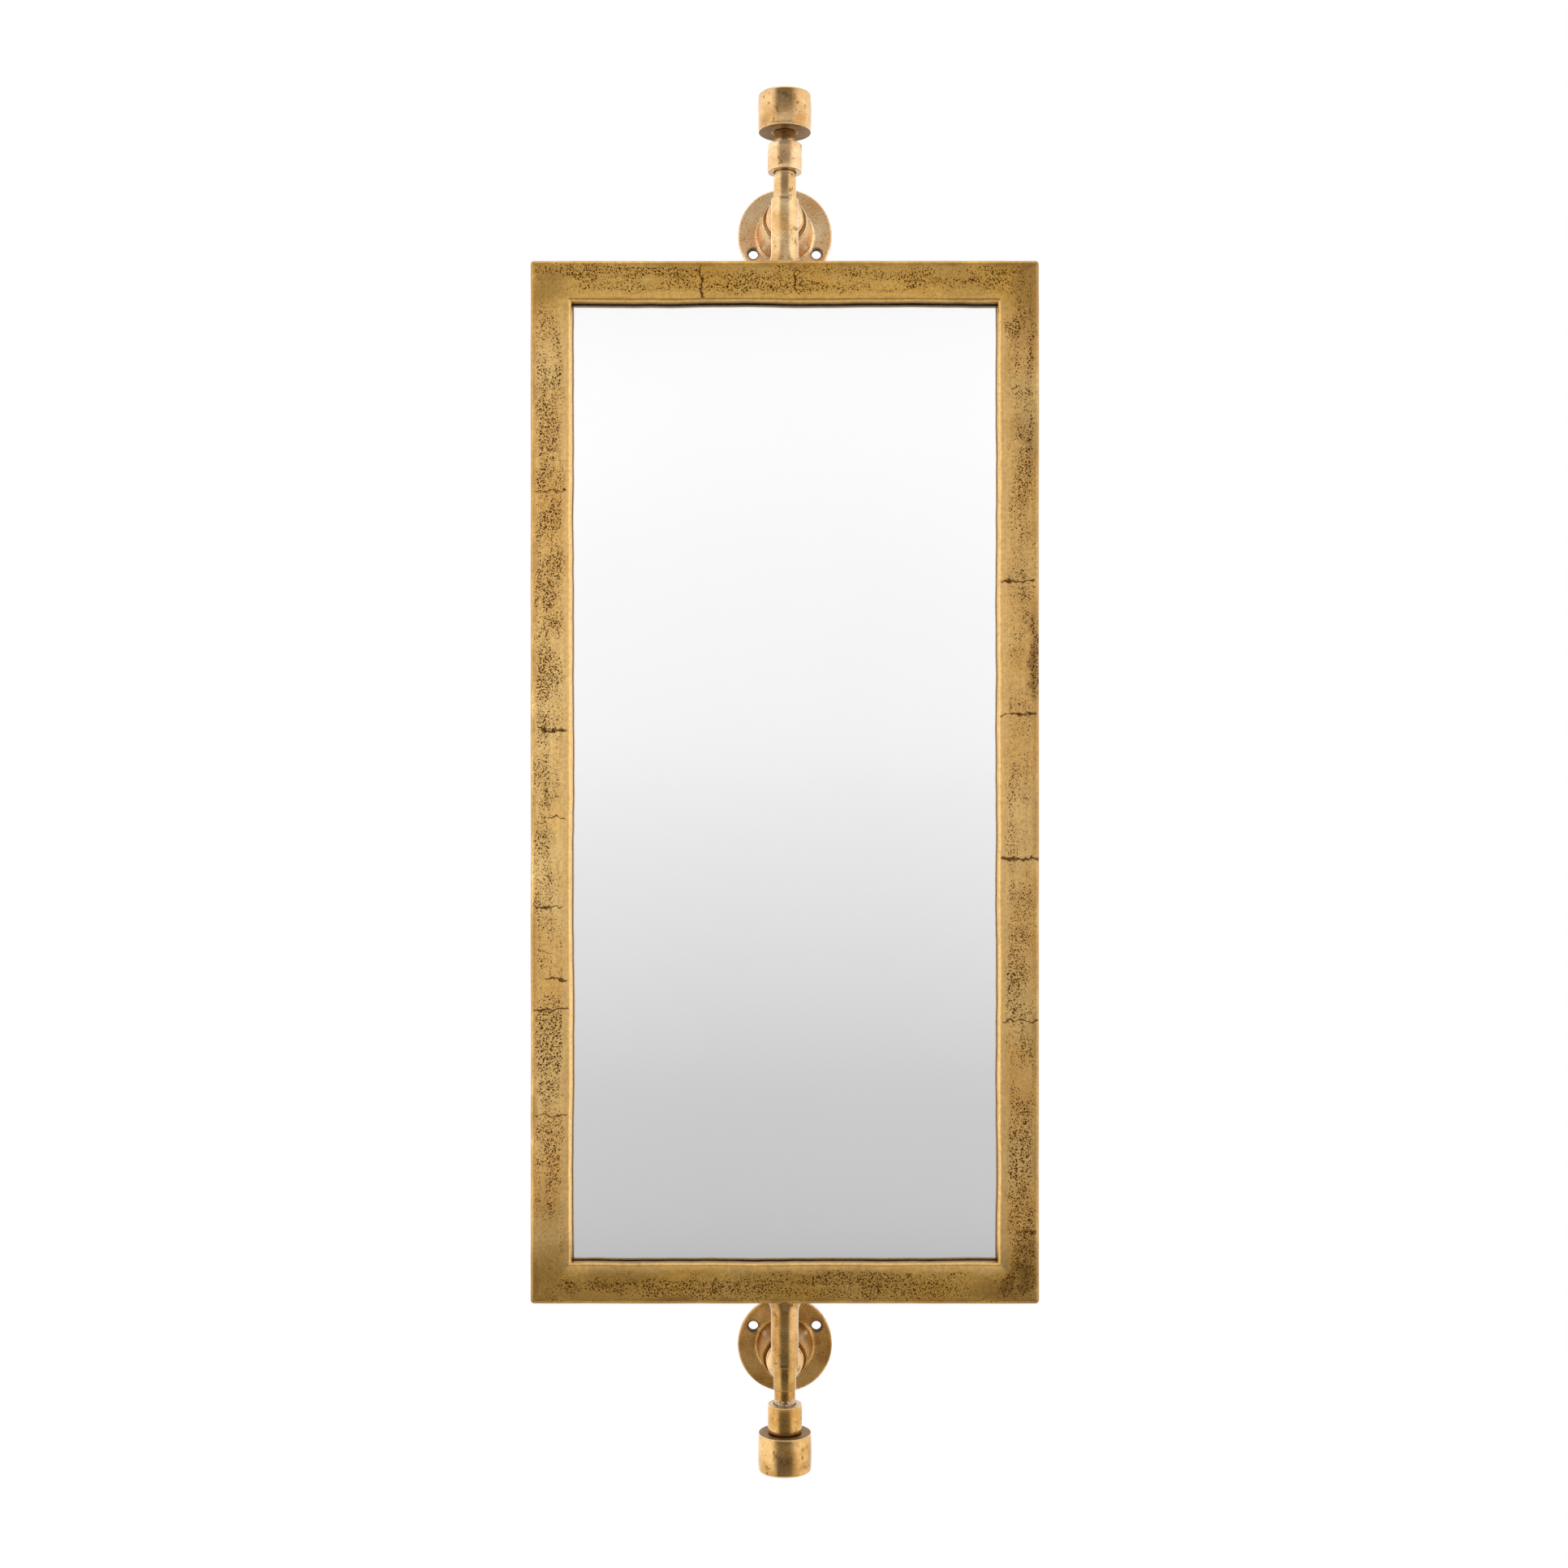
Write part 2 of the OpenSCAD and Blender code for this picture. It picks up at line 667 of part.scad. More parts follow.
module top_post() { on_mirror(1) post(); }
module bottom_post() { on_mirror(-1) post(); }
module top_spindle() { on_mirror(1) spindle(); }
module bottom_spindle() { on_mirror(-1) spindle(); }
module top_cap() { on_mirror(1) cap(); }
module bottom_cap() { on_mirror(-1) cap(); }
module top_cap_set_screw() { on_mirror(1) cap_set_screw(); }
module bottom_cap_set_screw() { on_mirror(-1) cap_set_screw(); }
module top_eye() { on_bracket(1) eye(); }
module bottom_eye() { on_bracket(-1) eye(); }
module top_eye_bush() { on_bracket(1) eye_bush(); }
module bottom_eye_bush() { on_bracket(-1) eye_bush(); }
module top_arm() { on_bracket(1) arm(); }
module bottom_arm() { on_bracket(-1) arm(); }
module top_wall_plate() { on_bracket(1) wall_plate(); }
module bottom_wall_plate() { on_bracket(-1) wall_plate(); }
module top_arm_screw() { on_bracket(1) arm_screw(); }
module bottom_arm_screw() { on_bracket(-1) arm_screw(); }
module top_arm_washer() { on_bracket(1) arm_washer(); }
module bottom_arm_washer() { on_bracket(-1) arm_washer(); }

frame();
glass_gasket();
mirror_glass();
backing_board();
card_packing();
back_panel();
back_panel_screws();
top_post();
bottom_post();
top_spindle();
bottom_spindle();
top_cap();
bottom_cap();
top_cap_set_screw();
bottom_cap_set_screw();
top_eye();
bottom_eye();
top_eye_bush();
bottom_eye_bush();
top_arm();
bottom_arm();
top_wall_plate();
bottom_wall_plate();
top_arm_screw();
bottom_arm_screw();
top_arm_washer();
bottom_arm_washer();
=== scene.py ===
# A tall brass mirror that turns between two wall brackets, in metres, +Z up. The wall is the
# plane y = 0, the glass looks along -Y, and the spindles' axis stands 175 mm off the wall.
import math

import bmesh
import bpy
from mathutils import Matrix, Vector, noise


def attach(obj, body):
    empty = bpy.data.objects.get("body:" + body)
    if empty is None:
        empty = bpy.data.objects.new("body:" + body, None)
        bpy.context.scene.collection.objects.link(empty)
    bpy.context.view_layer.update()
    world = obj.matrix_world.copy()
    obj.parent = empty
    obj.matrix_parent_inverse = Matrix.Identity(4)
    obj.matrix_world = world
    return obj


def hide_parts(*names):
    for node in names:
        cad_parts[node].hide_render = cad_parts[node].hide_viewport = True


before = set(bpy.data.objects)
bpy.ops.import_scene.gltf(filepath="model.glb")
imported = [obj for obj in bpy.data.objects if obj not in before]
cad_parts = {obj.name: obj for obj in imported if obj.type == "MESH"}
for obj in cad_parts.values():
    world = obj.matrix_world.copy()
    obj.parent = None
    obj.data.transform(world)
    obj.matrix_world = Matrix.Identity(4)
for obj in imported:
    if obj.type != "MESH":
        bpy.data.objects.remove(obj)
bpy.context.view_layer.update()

# ---- Camera ----
# A level camera, 1.44 m in front of the wall and just below the mirror's middle, far enough
# back that both plates show behind their spindles. The shift only centres the picture. Its
# focal length and shift are in pixels of a picture 1932 across.
IMAGE, FOCAL, SHIFT_X, SHIFT_Z = 1932, 2335, -1, 25
lens = bpy.data.cameras.new("camera")
lens.lens = lens.sensor_width * FOCAL / IMAGE
lens.shift_x, lens.shift_y = SHIFT_X / IMAGE, SHIFT_Z / IMAGE
camera = bpy.data.objects.new("camera", lens)
camera.location = (0, -1.436, -0.4293)
camera.rotation_euler = (math.radians(90), 0, 0)
bpy.context.scene.collection.objects.link(camera)
bpy.context.scene.camera = camera

# ---- Frame ----
# One sand casting of brass: four mitred bars with a crowned front, a lip in front of the glass
# and a pocket behind it. The skin is pitted and cracked from the sand, the bars are dressed
# lengthwise by hand, and their edges are rubbed bright after the brass was darkened.
OPEN_X, OPEN_Z = 140.75, 317.5
BAR_W, FRAME_T, CROWN, LIP_T = 27.5, 20, 0.8, 6.2
POCKET, PANEL_POCKET, PANEL_T = 7, 16, 1
FRONT_ROUND, BACK_ROUND, LIP_ROUND, CORNER_ROUND = 2.5, 1, 0.6, 2.5
MIRROR_MID = Vector((0, -175, -414.75))
# Points nearer than this in mm are the same corner of a section, or the same point
NEAR, WELD = 0.01, 0.001


def on_mirror(side=1, height=0):
    """Puts millimetres from the mirror's middle in their place, upside down for its lower half"""
    middle = Matrix.Translation(MIRROR_MID) @ Matrix.Diagonal((1, 1, side, 1))
    return middle @ Matrix.Translation((0, 0, height))


def linear(hex_colour):
    """Turns an sRGB hex colour into the linear values that a shader takes"""
    channels = [int(hex_colour[i:i + 2], 16) / 255 for i in (1, 3, 5)]
    return [c / 12.92 if c <= 0.04045 else ((c + 0.055) / 1.055) ** 2.4 for c in channels] + [1]


def add(tree, kind, inputs=None, **settings):
    """Adds a shader node with its settings, its values and the links that come into it"""
    node = tree.nodes.new("ShaderNode" + kind)
    for name, value in settings.items():
        setattr(node, name, value)
    for socket, value in (inputs or {}).items():
        if isinstance(value, bpy.types.NodeSocket):
            tree.links.new(value, node.inputs[socket])
        else:
            node.inputs[socket].default_value = value
    return node


def new_material(name):
    """Starts a material and returns it with its tree and its shader"""
    material = bpy.data.materials.new(name)
    material.use_nodes = True
    return material, material.node_tree, material.node_tree.nodes["Principled BSDF"]


def piece_from(name, bm, place, material, body, node):
    """Makes a piece of a mesh in millimetres, in its place, for the solid that it stands for"""
    bmesh.ops.transform(bm, matrix=place, verts=bm.verts)
    bmesh.ops.remove_doubles(bm, verts=bm.verts, dist=WELD)
    bmesh.ops.recalc_face_normals(bm, faces=bm.faces)
    bmesh.ops.scale(bm, vec=(0.001, 0.001, 0.001), verts=bm.verts)
    mesh = bpy.data.meshes.new(name)
    bm.to_mesh(mesh)
    bm.free()
    mesh.shade_smooth()
    mesh.set_sharp_from_angle(angle=math.radians(35))
    mesh.materials.append(material)
    piece = bpy.data.objects.new(name, mesh)
    bpy.context.scene.collection.objects.link(piece)
    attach(piece, body)
    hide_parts(node)
    return piece


def across(co):
    """How far a point of the frame lies from the edge of the opening"""
    return max(abs(co.x) - OPEN_X, abs(co.z) - OPEN_Z)


def on_stile(co):
    """Whether a point of the frame lies on one of its two upright bars"""
    return abs(co.x) - OPEN_X > abs(co.z) - OPEN_Z


def section_edges(bm, s, depth):
    """The frame's edges that run along its bars at one corner of the bar's section"""
    return [e for e in bm.edges if all(
        abs(across(v.co) - s) < NEAR and abs(v.co.y + FRAME_T / 2 - depth) < NEAR for v in e.verts)]


# The bar's section at one mitre, carried round the opening in four quarter turns
bm = bmesh.new()
section = [(0, CROWN), (BAR_W, CROWN), (BAR_W, FRAME_T), (PANEL_POCKET, FRAME_T),
           (PANEL_POCKET, FRAME_T - PANEL_T), (POCKET, FRAME_T - PANEL_T), (POCKET, LIP_T),
           (0, LIP_T)]
mitre = [bm.verts.new((OPEN_X + s, depth - FRAME_T / 2, OPEN_X + s)) for s, depth in section]
edges = [bm.edges.new(pair) for pair in zip(mitre, mitre[1:] + mitre[:1])]
bmesh.ops.spin(bm, geom=mitre + edges, cent=(0, 0, 0), axis=(0, 1, 0), angle=2 * math.pi, steps=4,
               use_merge=True)
for v in bm.verts:
    v.co.z += math.copysign(OPEN_Z - OPEN_X, v.co.z)
for s, depth, r, segments in ((0, CROWN, FRONT_ROUND, 7), (BAR_W, CROWN, FRONT_ROUND, 7),
                              (BAR_W, FRAME_T, BACK_ROUND, 3), (0, LIP_T, LIP_ROUND, 3)):
    bmesh.ops.bevel(bm, geom=section_edges(bm, s, depth), offset=r, offset_type="OFFSET",
                    segments=segments, profile=0.5, affect="EDGES", material=-1)

# Rows across the front and the outer side, then along the bars, closest at the corners
flat_mitres = [e for e in bm.edges
               if abs(across(e.verts[0].co) - across(e.verts[1].co)) > BAR_W / 2]
bmesh.ops.subdivide_edges(bm, edges=flat_mitres, cuts=9, use_grid_fill=True)
side_mitres = [e for e in bm.edges if all(abs(across(v.co) - BAR_W) < NEAR for v in e.verts)
               and abs(e.verts[0].co.y - e.verts[1].co.y) > FRAME_T / 2]
bmesh.ops.subdivide_edges(bm, edges=side_mitres, cuts=4, use_grid_fill=True)
for axis, cuts in ((2, 260), (0, 120)):
    long_edges = [e for e in bm.edges if e.verts[0].co[axis] * e.verts[1].co[axis] < 0]
    bmesh.ops.subdivide_edges(bm, edges=long_edges, cuts=cuts, use_grid_fill=True)
for v in bm.verts:
    s = across(v.co)
    axis, half = (2, OPEN_Z + s) if on_stile(v.co) else (0, OPEN_X + s)
    t = v.co[axis] / half
    v.co[axis] = half * t * (1 + 0.75 * (1 - abs(t)))

# The crown, the rounded outer corners, and the unevenness that files and grinding leave: noise
# of a height and a length in mm, which dies out away from the edge that it belongs to
corner = Vector((OPEN_X + BAR_W - CORNER_ROUND, 0, OPEN_Z + BAR_W - CORNER_ROUND))
for v in bm.verts:
    s, (x, y, z) = across(v.co), v.co
    if y < LIP_T - FRAME_T / 2 - 1:
        dressed = (0.16 * noise.noise(Vector((x, 0, z)) / 21)
                   + 0.09 * noise.noise(Vector((x, 9, z)) / 8))
        v.co.y += dressed * min(1, s / 3, (BAR_W - s) / 3) - CROWN * (1 - (2 * s / BAR_W - 1) ** 2)
    over = Vector((max(abs(x) - corner.x, 0), 0, max(abs(z) - corner.z, 0)))
    if over.x and over.z:
        over *= max(over) / over.length
        v.co.x, v.co.z = math.copysign(corner.x + over.x, x), math.copysign(corner.z + over.z, z)
    for axis, opening, along in ((0, OPEN_X, z), (2, OPEN_Z, x)):
        d = abs(v.co[axis]) - opening
        seed = 40 * axis + math.copysign(17, v.co[axis])
        lip = (0.5 * noise.noise((along / 60, seed, 1.5))
               + 0.25 * noise.noise((along / 13, seed, 2.5)))
        outer = (0.2 * noise.noise((along / 70, seed, 3.5))
                 + 0.1 * noise.noise((along / 17, seed, 4.5)))
        move = (lip * max(0, 1 - abs(d) / 6) ** 2
                + min(0, outer - 0.06) * max(0, 1 - abs(BAR_W - d) / 9) ** 2)
        v.co[axis] += move * math.copysign(1, v.co[axis])

# U is the distance from the opening and V runs along each bar, a metre apart for each bar
along_bar = bm.loops.layers.uv.new("along_bar")
for face in bm.faces:
    middle = face.calc_center_median()
    upright = on_stile(middle)
    start = (1 if middle.x > 0 else 0) if upright else (2 if middle.z > 0 else 3)
    for loop in face.loops:
        co = loop.vert.co
        loop[along_bar].uv = (across(co) / 1000, start + (co.z if upright else co.x) / 1000)

# Sand-cast brass, dressed lengthwise, darkened and waxed: dull gold with small dark pits that
# crowd along the middle of each bar, jagged cold-shut cracks across it, smooth paler bands at
# its edges, and brown or black clouds where the darkening was never rubbed off. Real pits and
# dressing lines are finer yet; these are as coarse as they need to be to show.
PITS_MM, MOTTLE_MM, STREAK_MM, DRESSING_MM, CLOUD_MM = (1.8, 1.4, 0.9), 20, (6, 55), 0.7, 60
RAGGED_MM, WANDER_MM, WOBBLE_MM, JAG_MM, GRAIN_MM = 11, 24, 1.3, 6, 2.4
# Each crack: metres along the bar, plus 1 for each bar, and from where to where across it in mm
CRACKS = [(0.1927, 4, 23.5), (0.0341, 4, 18.5), (-0.0227, 5, 15), (-0.083, 6, 23),
          (-0.1302, 4, 17), (-0.1499, 3, 25), (-0.2197, 3, 23), (1.133, 3, 24),
          (1.0446, 2.5, 24.5), (0.9495, 3, 26.5), (0.8426, 3, 25.5), (0.7034, 14, 24),
          (1.945, 3, 24), (2.0065, 7, 21), (2.953, 9, 20), (3.061, 13, 22)]
# Patches from the mirror's middle in mm: x, z, half width, half height and strength
CROWDED = [(-154, 250, 11, 50, 0.6), (-155, 178, 11, 55, 0.8), (-159, 100, 8, 65, 1.0),
           (-162, 0, 6, 70, 0.8), (-155, -178, 12, 42, 1.0), (-155, -245, 9, 38, 0.9),
           (157, -262, 11, 62, 1.0), (159, 211, 8, 24, 0.8), (155, -118, 12, 42, 0.6),
           (155, 285, 11, 50, 0.5), (156, -175, 10, 20, 0.5), (-100, 337, 62, 5, 1.0),
           (0, 332, 68, 10, 0.9), (105, 332, 52, 10, 0.7), (-65, -335, 85, 8, 0.9),
           (60, -331, 62, 11, 1.0)]
CLOUDED = [(-157, 327, 13, 13, 0.4), (164, 326, 11, 34, 0.4), (161, 232, 9, 20, 0.25),
           (-157, -305, 13, 40, 0.3), (-110, -328, 26, 9, 0.3), (20, -327, 60, 7, 0.2),
           (120, 326, 20, 12, 0.2), (142, -336, 16, 8, 0.35)]
BLACKENED = [(166.5, 80, 5, 22, 1.0), (159, -325, 8, 9, 1.0), (147, -329, 4, 6, 0.8),
             (161, -308, 7, 8, 0.7), (165, 104, 7, 6, 0.5), (-141, -334, 6, 5, 0.4)]
# How a range fades softly at both its ends
SOFT = {"interpolation_type": "SMOOTHSTEP"}


def patches(tree, place, spots):
    """The strongest of some soft round patches at each place on the frame"""
    strongest = 0
    for x, z, half_x, half_z, strength in spots:
        off = add(tree, "VectorMath", {0: place, 1: (x / 1000, 0, z / 1000)},
                  operation="SUBTRACT").outputs[0]
        off = add(tree, "VectorMath", {0: off, 1: (1000 / half_x, 0, 1000 / half_z)},
                  operation="MULTIPLY").outputs[0]
        off = add(tree, "VectorMath", {0: off}, operation="LENGTH").outputs["Value"]
        patch = add(tree, "MapRange", {0: off, 1: 0.45, 2: 1.45, 3: strength, 4: 0},
                    **SOFT).outputs[0]
        strongest = add(tree, "Math", {0: patch, 1: strongest}, operation="MAXIMUM").outputs[0]
    return strongest


def pushed(tree, place, at, size, detail, reach):
    """Places that a noise of some size pushes about, by up to half of reach, all in mm"""
    push = add(tree, "TexNoise", {"Vector": at, "Scale": 1000 / size, "Detail": detail})
    push = add(tree, "VectorMath", {0: push.outputs["Color"], 1: (0.5, 0.5, 0.5)},
               operation="SUBTRACT").outputs[0]
    return add(tree, "VectorMath", {0: push, 1: [mm / 1000 for mm in reach], 2: place},
               operation="MULTIPLY_ADD").outputs[0]


cast_brass, tree, shader = new_material("sand_cast_brass")
at = add(tree, "TexCoord").outputs["Object"]
depth = add(tree, "SeparateXYZ", {0: at}).outputs[1]
bar = add(tree, "SeparateXYZ", {0: add(tree, "UVMap", uv_map="along_bar").outputs[0]})
spot = add(tree, "CombineXYZ", {0: bar.outputs[0], 1: bar.outputs[1], 2: depth}).outputs[0]
ragged = pushed(tree, at, at, RAGGED_MM, 4, (18, 0, 18))
ragged = add(tree, "VectorMath", {0: ragged, 1: [-c / 1000 for c in MIRROR_MID]},
             operation="ADD").outputs[0]

# Where the smooth bands end, in metres from the opening, and where the pits crowd
wander = add(tree, "TexNoise", {"Vector": at, "Scale": 1000 / WANDER_MM, "Detail": 2}).outputs[0]
wander = add(tree, "Math", {0: wander, 1: 0.5}, operation="SUBTRACT").outputs[0]
place = add(tree, "Math", {0: wander, 1: 0.012, 2: bar.outputs[0]},
            operation="MULTIPLY_ADD").outputs[0]
inner = add(tree, "MapRange", {0: place, 1: 0.003, 2: 0.0075, 3: 0, 4: 1}, **SOFT).outputs[0]
outer = add(tree, "MapRange", {0: place, 1: 0.0225, 2: 0.0262, 3: 1, 4: 0}, **SOFT).outputs[0]
band = add(tree, "Math", {0: inner, 1: outer}, operation="MULTIPLY").outputs[0]
streak = add(tree, "Mapping", {"Vector": spot, "Scale": [1000 / mm for mm in (*STREAK_MM, 6)]})
streak = add(tree, "TexNoise", {"Vector": streak.outputs[0], "Scale": 1, "Detail": 2}).outputs[0]
mottle = add(tree, "TexNoise", {"Vector": at, "Scale": 1000 / MOTTLE_MM, "Detail": 4}).outputs[0]
crowd = add(tree, "Math", {0: streak, 1: mottle}, operation="ADD").outputs[0]
crowd = add(tree, "MapRange", {0: crowd, 1: 0.75, 2: 1.18, 3: 0, 4: 0.8}).outputs[0]
dense = add(tree, "Math", {0: patches(tree, ragged, CROWDED), 1: 0.6, 2: crowd},
            operation="MULTIPLY_ADD", use_clamp=True).outputs[0]
dense = add(tree, "Math", {0: dense, 1: band}, operation="MULTIPLY").outputs[0]
black = patches(tree, ragged, BLACKENED)
dense = add(tree, "Math", {0: black, 1: 1.1, 2: dense}, operation="MULTIPLY_ADD").outputs[0]

# The pits themselves: round blowholes of all sizes, which run together where they crowd, and
# finer ones between them. Each layer has its spacing, its least and most reach, and its strength
wobble = pushed(tree, at, at, WOBBLE_MM, 2, (1.6, 1.6, 1.6))
pits = 0
for apart, least, most, strength in zip(PITS_MM, (0.08, 0.08, 0.06), (0.35, 0.36, 0.36),
                                        (1, 0.9, 0.7)):
    gap = add(tree, "TexVoronoi", {"Vector": wobble, "Scale": 1000 / apart}).outputs[0]
    reach = add(tree, "MapRange", {0: dense, 1: 0, 2: 1, 3: least, 4: most}).outputs[0]
    gap = add(tree, "Math", {0: gap, 1: reach}, operation="SUBTRACT").outputs[0]
    gap = add(tree, "MapRange", {0: gap, 1: -0.08, 2: 0.06, 3: strength, 4: 0}, **SOFT).outputs[0]
    pits = add(tree, "Math", {0: pits, 1: gap}, operation="MAXIMUM").outputs[0]
pits = add(tree, "Math", {0: pits, 1: inner}, operation="MULTIPLY").outputs[0]

# Each crack is the nearest distance to a short line across the bar, bent by noise
jag = pushed(tree, spot, at, JAG_MM, 5, (4, 10.5, 0))
nearest = 1.0
for station, start, end in CRACKS:
    off = add(tree, "VectorMath", {0: jag, 1: ((start + end) / 2000, station, 0)},
              operation="SUBTRACT").outputs[0]
    off = add(tree, "VectorMath", {0: off}, operation="ABSOLUTE").outputs[0]
    off = add(tree, "VectorMath", {0: off, 1: ((end - start) / 2000, 0, 1)},
              operation="SUBTRACT").outputs[0]
    off = add(tree, "VectorMath", {0: off, 1: (0, 0, 0)}, operation="MAXIMUM").outputs[0]
    off = add(tree, "VectorMath", {0: off}, operation="LENGTH").outputs["Value"]
    nearest = add(tree, "Math", {0: nearest, 1: off}, operation="MINIMUM").outputs[0]
wide = add(tree, "MapRange", {0: mottle, 1: 0.4, 2: 0.65, 3: 0.0007, 4: 0.0014}).outputs[0]
crack = add(tree, "MapRange", {0: nearest, 1: 0.0002, 2: wide, 3: 0.95, 4: 0}).outputs[0]
hollow = add(tree, "Math", {0: pits, 1: crack}, operation="MAXIMUM").outputs[0]

lines = add(tree, "Mapping", {"Vector": spot, "Scale": [1000 / mm for mm in (
    DRESSING_MM, 40, DRESSING_MM)]})
lines = add(tree, "TexNoise", {"Vector": lines.outputs[0], "Scale": 1, "Detail": 3}).outputs[0]
cloud = add(tree, "TexNoise", {"Vector": at, "Scale": 1000 / CLOUD_MM, "Detail": 4}).outputs[0]
cloud = add(tree, "MapRange", {0: cloud, 1: 0.36, 2: 0.64, 3: 0, 4: 1}).outputs[0]
rubbed = add(tree, "Math", {0: 1, 1: inner}, operation="SUBTRACT").outputs[0]
stain = add(tree, "Math", {0: dense, 1: 0.16}, operation="MULTIPLY").outputs[0]
soot = add(tree, "Math", {0: black, 1: 0.55}, operation="MULTIPLY").outputs[0]
# Painted shade: the rails are painted browner and darker than the stiles, the lower one less so
# near the opening, and the right-hand side is painted a little browner all over
rightward, _, height = add(tree, "SeparateXYZ", {0: ragged}).outputs
upper = add(tree, "MapRange", {0: height, 1: 0.295, 2: 0.325, 3: 0, 4: 0.46}, **SOFT).outputs[0]
lower = add(tree, "MapRange", {0: height, 1: -0.295, 2: -0.325, 3: 0, 4: 0.5}, **SOFT).outputs[0]
worn = add(tree, "MapRange", {0: inner, 1: 0, 2: 1, 3: 0.4, 4: 1}).outputs[0]
rail_shade = add(tree, "Math", {0: lower, 1: worn}, operation="MULTIPLY").outputs[0]
rail_shade = add(tree, "Math", {0: upper, 1: rail_shade}, operation="MAXIMUM").outputs[0]
rightward = add(tree, "MapRange", {0: rightward, 1: 0.135, 2: 0.168, 3: 0, 4: 0.5}).outputs[0]
# The deep side of the lip is darker. The frame's outer sides and a band along the outer edge of
# its front are darkened as painted shade
deep = add(tree, "MapRange", {0: depth, 1: -0.1805, 2: -0.179, 3: 0, 4: 1}).outputs[0]
lip = add(tree, "MapRange", {0: bar.outputs[0], 1: 0.0008, 2: 0.0016, 3: 0.7, 4: 0}).outputs[0]
lip = add(tree, "Math", {0: lip, 1: deep}, operation="MULTIPLY").outputs[0]
deep = add(tree, "MapRange", {0: depth, 1: -0.1842, 2: -0.1825, 3: 0, 4: 1}).outputs[0]
side = add(tree, "MapRange", {0: bar.outputs[0], 1: 0.0262, 2: 0.0272, 3: 0, 4: 0.75}).outputs[0]
side = add(tree, "Math", {0: side, 1: deep}, operation="MULTIPLY").outputs[0]
edge = add(tree, "MapRange", {0: place, 1: 0.0228, 2: 0.0266, 3: 0, 4: 0.75}).outputs[0]
# Colour layers in turn: tone clouds, rubbed inner edges, stains, painted shade on the rails, brown
# clouds, soot, the darker deep lip, and painted shade on the outer sides, the outer edge band and
# the right-hand side
colour = linear("#efbd70")
for share, tint in ((cloud, "#fad28a"), (rubbed, "#ecc07c"), (stain, "#b47c38"),
                    (rail_shade, "#bd8a00"), (patches(tree, ragged, CLOUDED), "#7a5a30"),
                    (soot, "#3a2b16"), (lip, "#6b5330"), (side, "#7f5d2e"), (edge, "#a87c42"),
                    (rightward, "#a07a46")):
    colour = add(tree, "Mix", {0: share, 6: colour, 7: linear(tint)}, data_type="RGBA").outputs[2]
# Painted shade makes the lower rail the darkest. Dressing lines and the grain of the sand run
# over everything
under = add(tree, "MapRange", {0: lower, 1: 0, 2: 0.5, 3: 1, 4: 0.78}).outputs[0]
shade = add(tree, "MapRange", {0: lines, 1: 0.3, 2: 0.7, 3: 0.93, 4: 1.08}).outputs[0]
shade = add(tree, "Math", {0: shade, 1: under}, operation="MULTIPLY").outputs[0]
grain = add(tree, "TexNoise", {"Vector": at, "Scale": 1000 / GRAIN_MM, "Detail": 5}).outputs[0]
grain = add(tree, "MapRange", {0: grain, 1: 0.35, 2: 0.62, 3: 0.86, 4: 1.08}).outputs[0]
shade = add(tree, "Math", {0: shade, 1: grain}, operation="MULTIPLY").outputs[0]
colour = add(tree, "Mix", {0: 1, 6: colour, 7: shade}, data_type="RGBA",
             blend_type="MULTIPLY").outputs[2]
colour = add(tree, "Mix", {0: hollow, 6: colour, 7: linear("#543210")}, data_type="RGBA").outputs[2]
tree.links.new(colour, shader.inputs["Base Color"])
rough = add(tree, "MapRange", {0: dense, 1: 0, 2: 1, 3: 0.33, 4: 0.43}).outputs[0]
rough = add(tree, "Math", {0: hollow, 1: 0.3, 2: rough}, operation="MULTIPLY_ADD").outputs[0]
tree.links.new(rough, shader.inputs["Roughness"])
relief = add(tree, "Math", {0: lines, 1: 0.12}, operation="MULTIPLY").outputs[0]
relief = add(tree, "Math", {0: relief, 1: hollow}, operation="SUBTRACT").outputs[0]
bump = add(tree, "Bump", {"Height": relief, "Strength": 0.6, "Distance": 0.0002}).outputs[0]
tree.links.new(bump, shader.inputs["Normal"])
shader.inputs["Metallic"].default_value = 1

piece_from("cast_frame", bm, on_mirror(), cast_brass, "mirror", "frame")

# ---- Mirror glass ----
# A sheet of 4 mm float glass, silvered, with its edges ground to a small bevel. It lies loose in
# the pocket, 7 mm behind the frame's front, so the lip shows again in it.
GLASS_FRONT, GLASS_T, GLASS_COVER, GLASS_BEVEL = 7, 4, 6.25, 0.4
bm = bmesh.new()
bmesh.ops.create_cube(bm, size=2)
bmesh.ops.scale(bm, vec=(OPEN_X + GLASS_COVER, GLASS_T / 2, OPEN_Z + GLASS_COVER), verts=bm.verts)
bmesh.ops.bevel(bm, geom=bm.edges[:], offset=GLASS_BEVEL, offset_type="OFFSET", segments=1,
                profile=0.5, affect="EDGES", material=-1)
bmesh.ops.translate(bm, vec=(0, GLASS_FRONT + GLASS_T / 2 - FRAME_T / 2, 0), verts=bm.verts)


def two_toned(tree, shader, pattern, low, high):
    """Colours a finish between two tones by a pattern"""
    tint = add(tree, "Mix", {0: pattern, 6: linear(low), 7: linear(high)}, data_type="RGBA")
    tree.links.new(tint.outputs[2], shader.inputs["Base Color"])


# Clear float glass, 4 mm thick: nearly colourless, with what dust and the cloth leave on it. Its
# thickness parts the lip from the lip's image, so a dark line runs round the opening
clear_glass, tree, shader = new_material("clear_float_glass")
at = add(tree, "TexCoord").outputs["Object"]
wipe = add(tree, "TexNoise", {"Vector": at, "Scale": 1000 / 120, "Detail": 2}).outputs[0]
wipe = add(tree, "MapRange", {0: wipe, 1: 0.3, 2: 0.7, 3: 0, 4: 0.006}).outputs[0]
tree.links.new(wipe, shader.inputs["Roughness"])
shader.inputs["Base Color"].default_value = (1, 1, 1, 1)
shader.inputs["Transmission Weight"].default_value = 1
shader.inputs["IOR"].default_value = 1.52

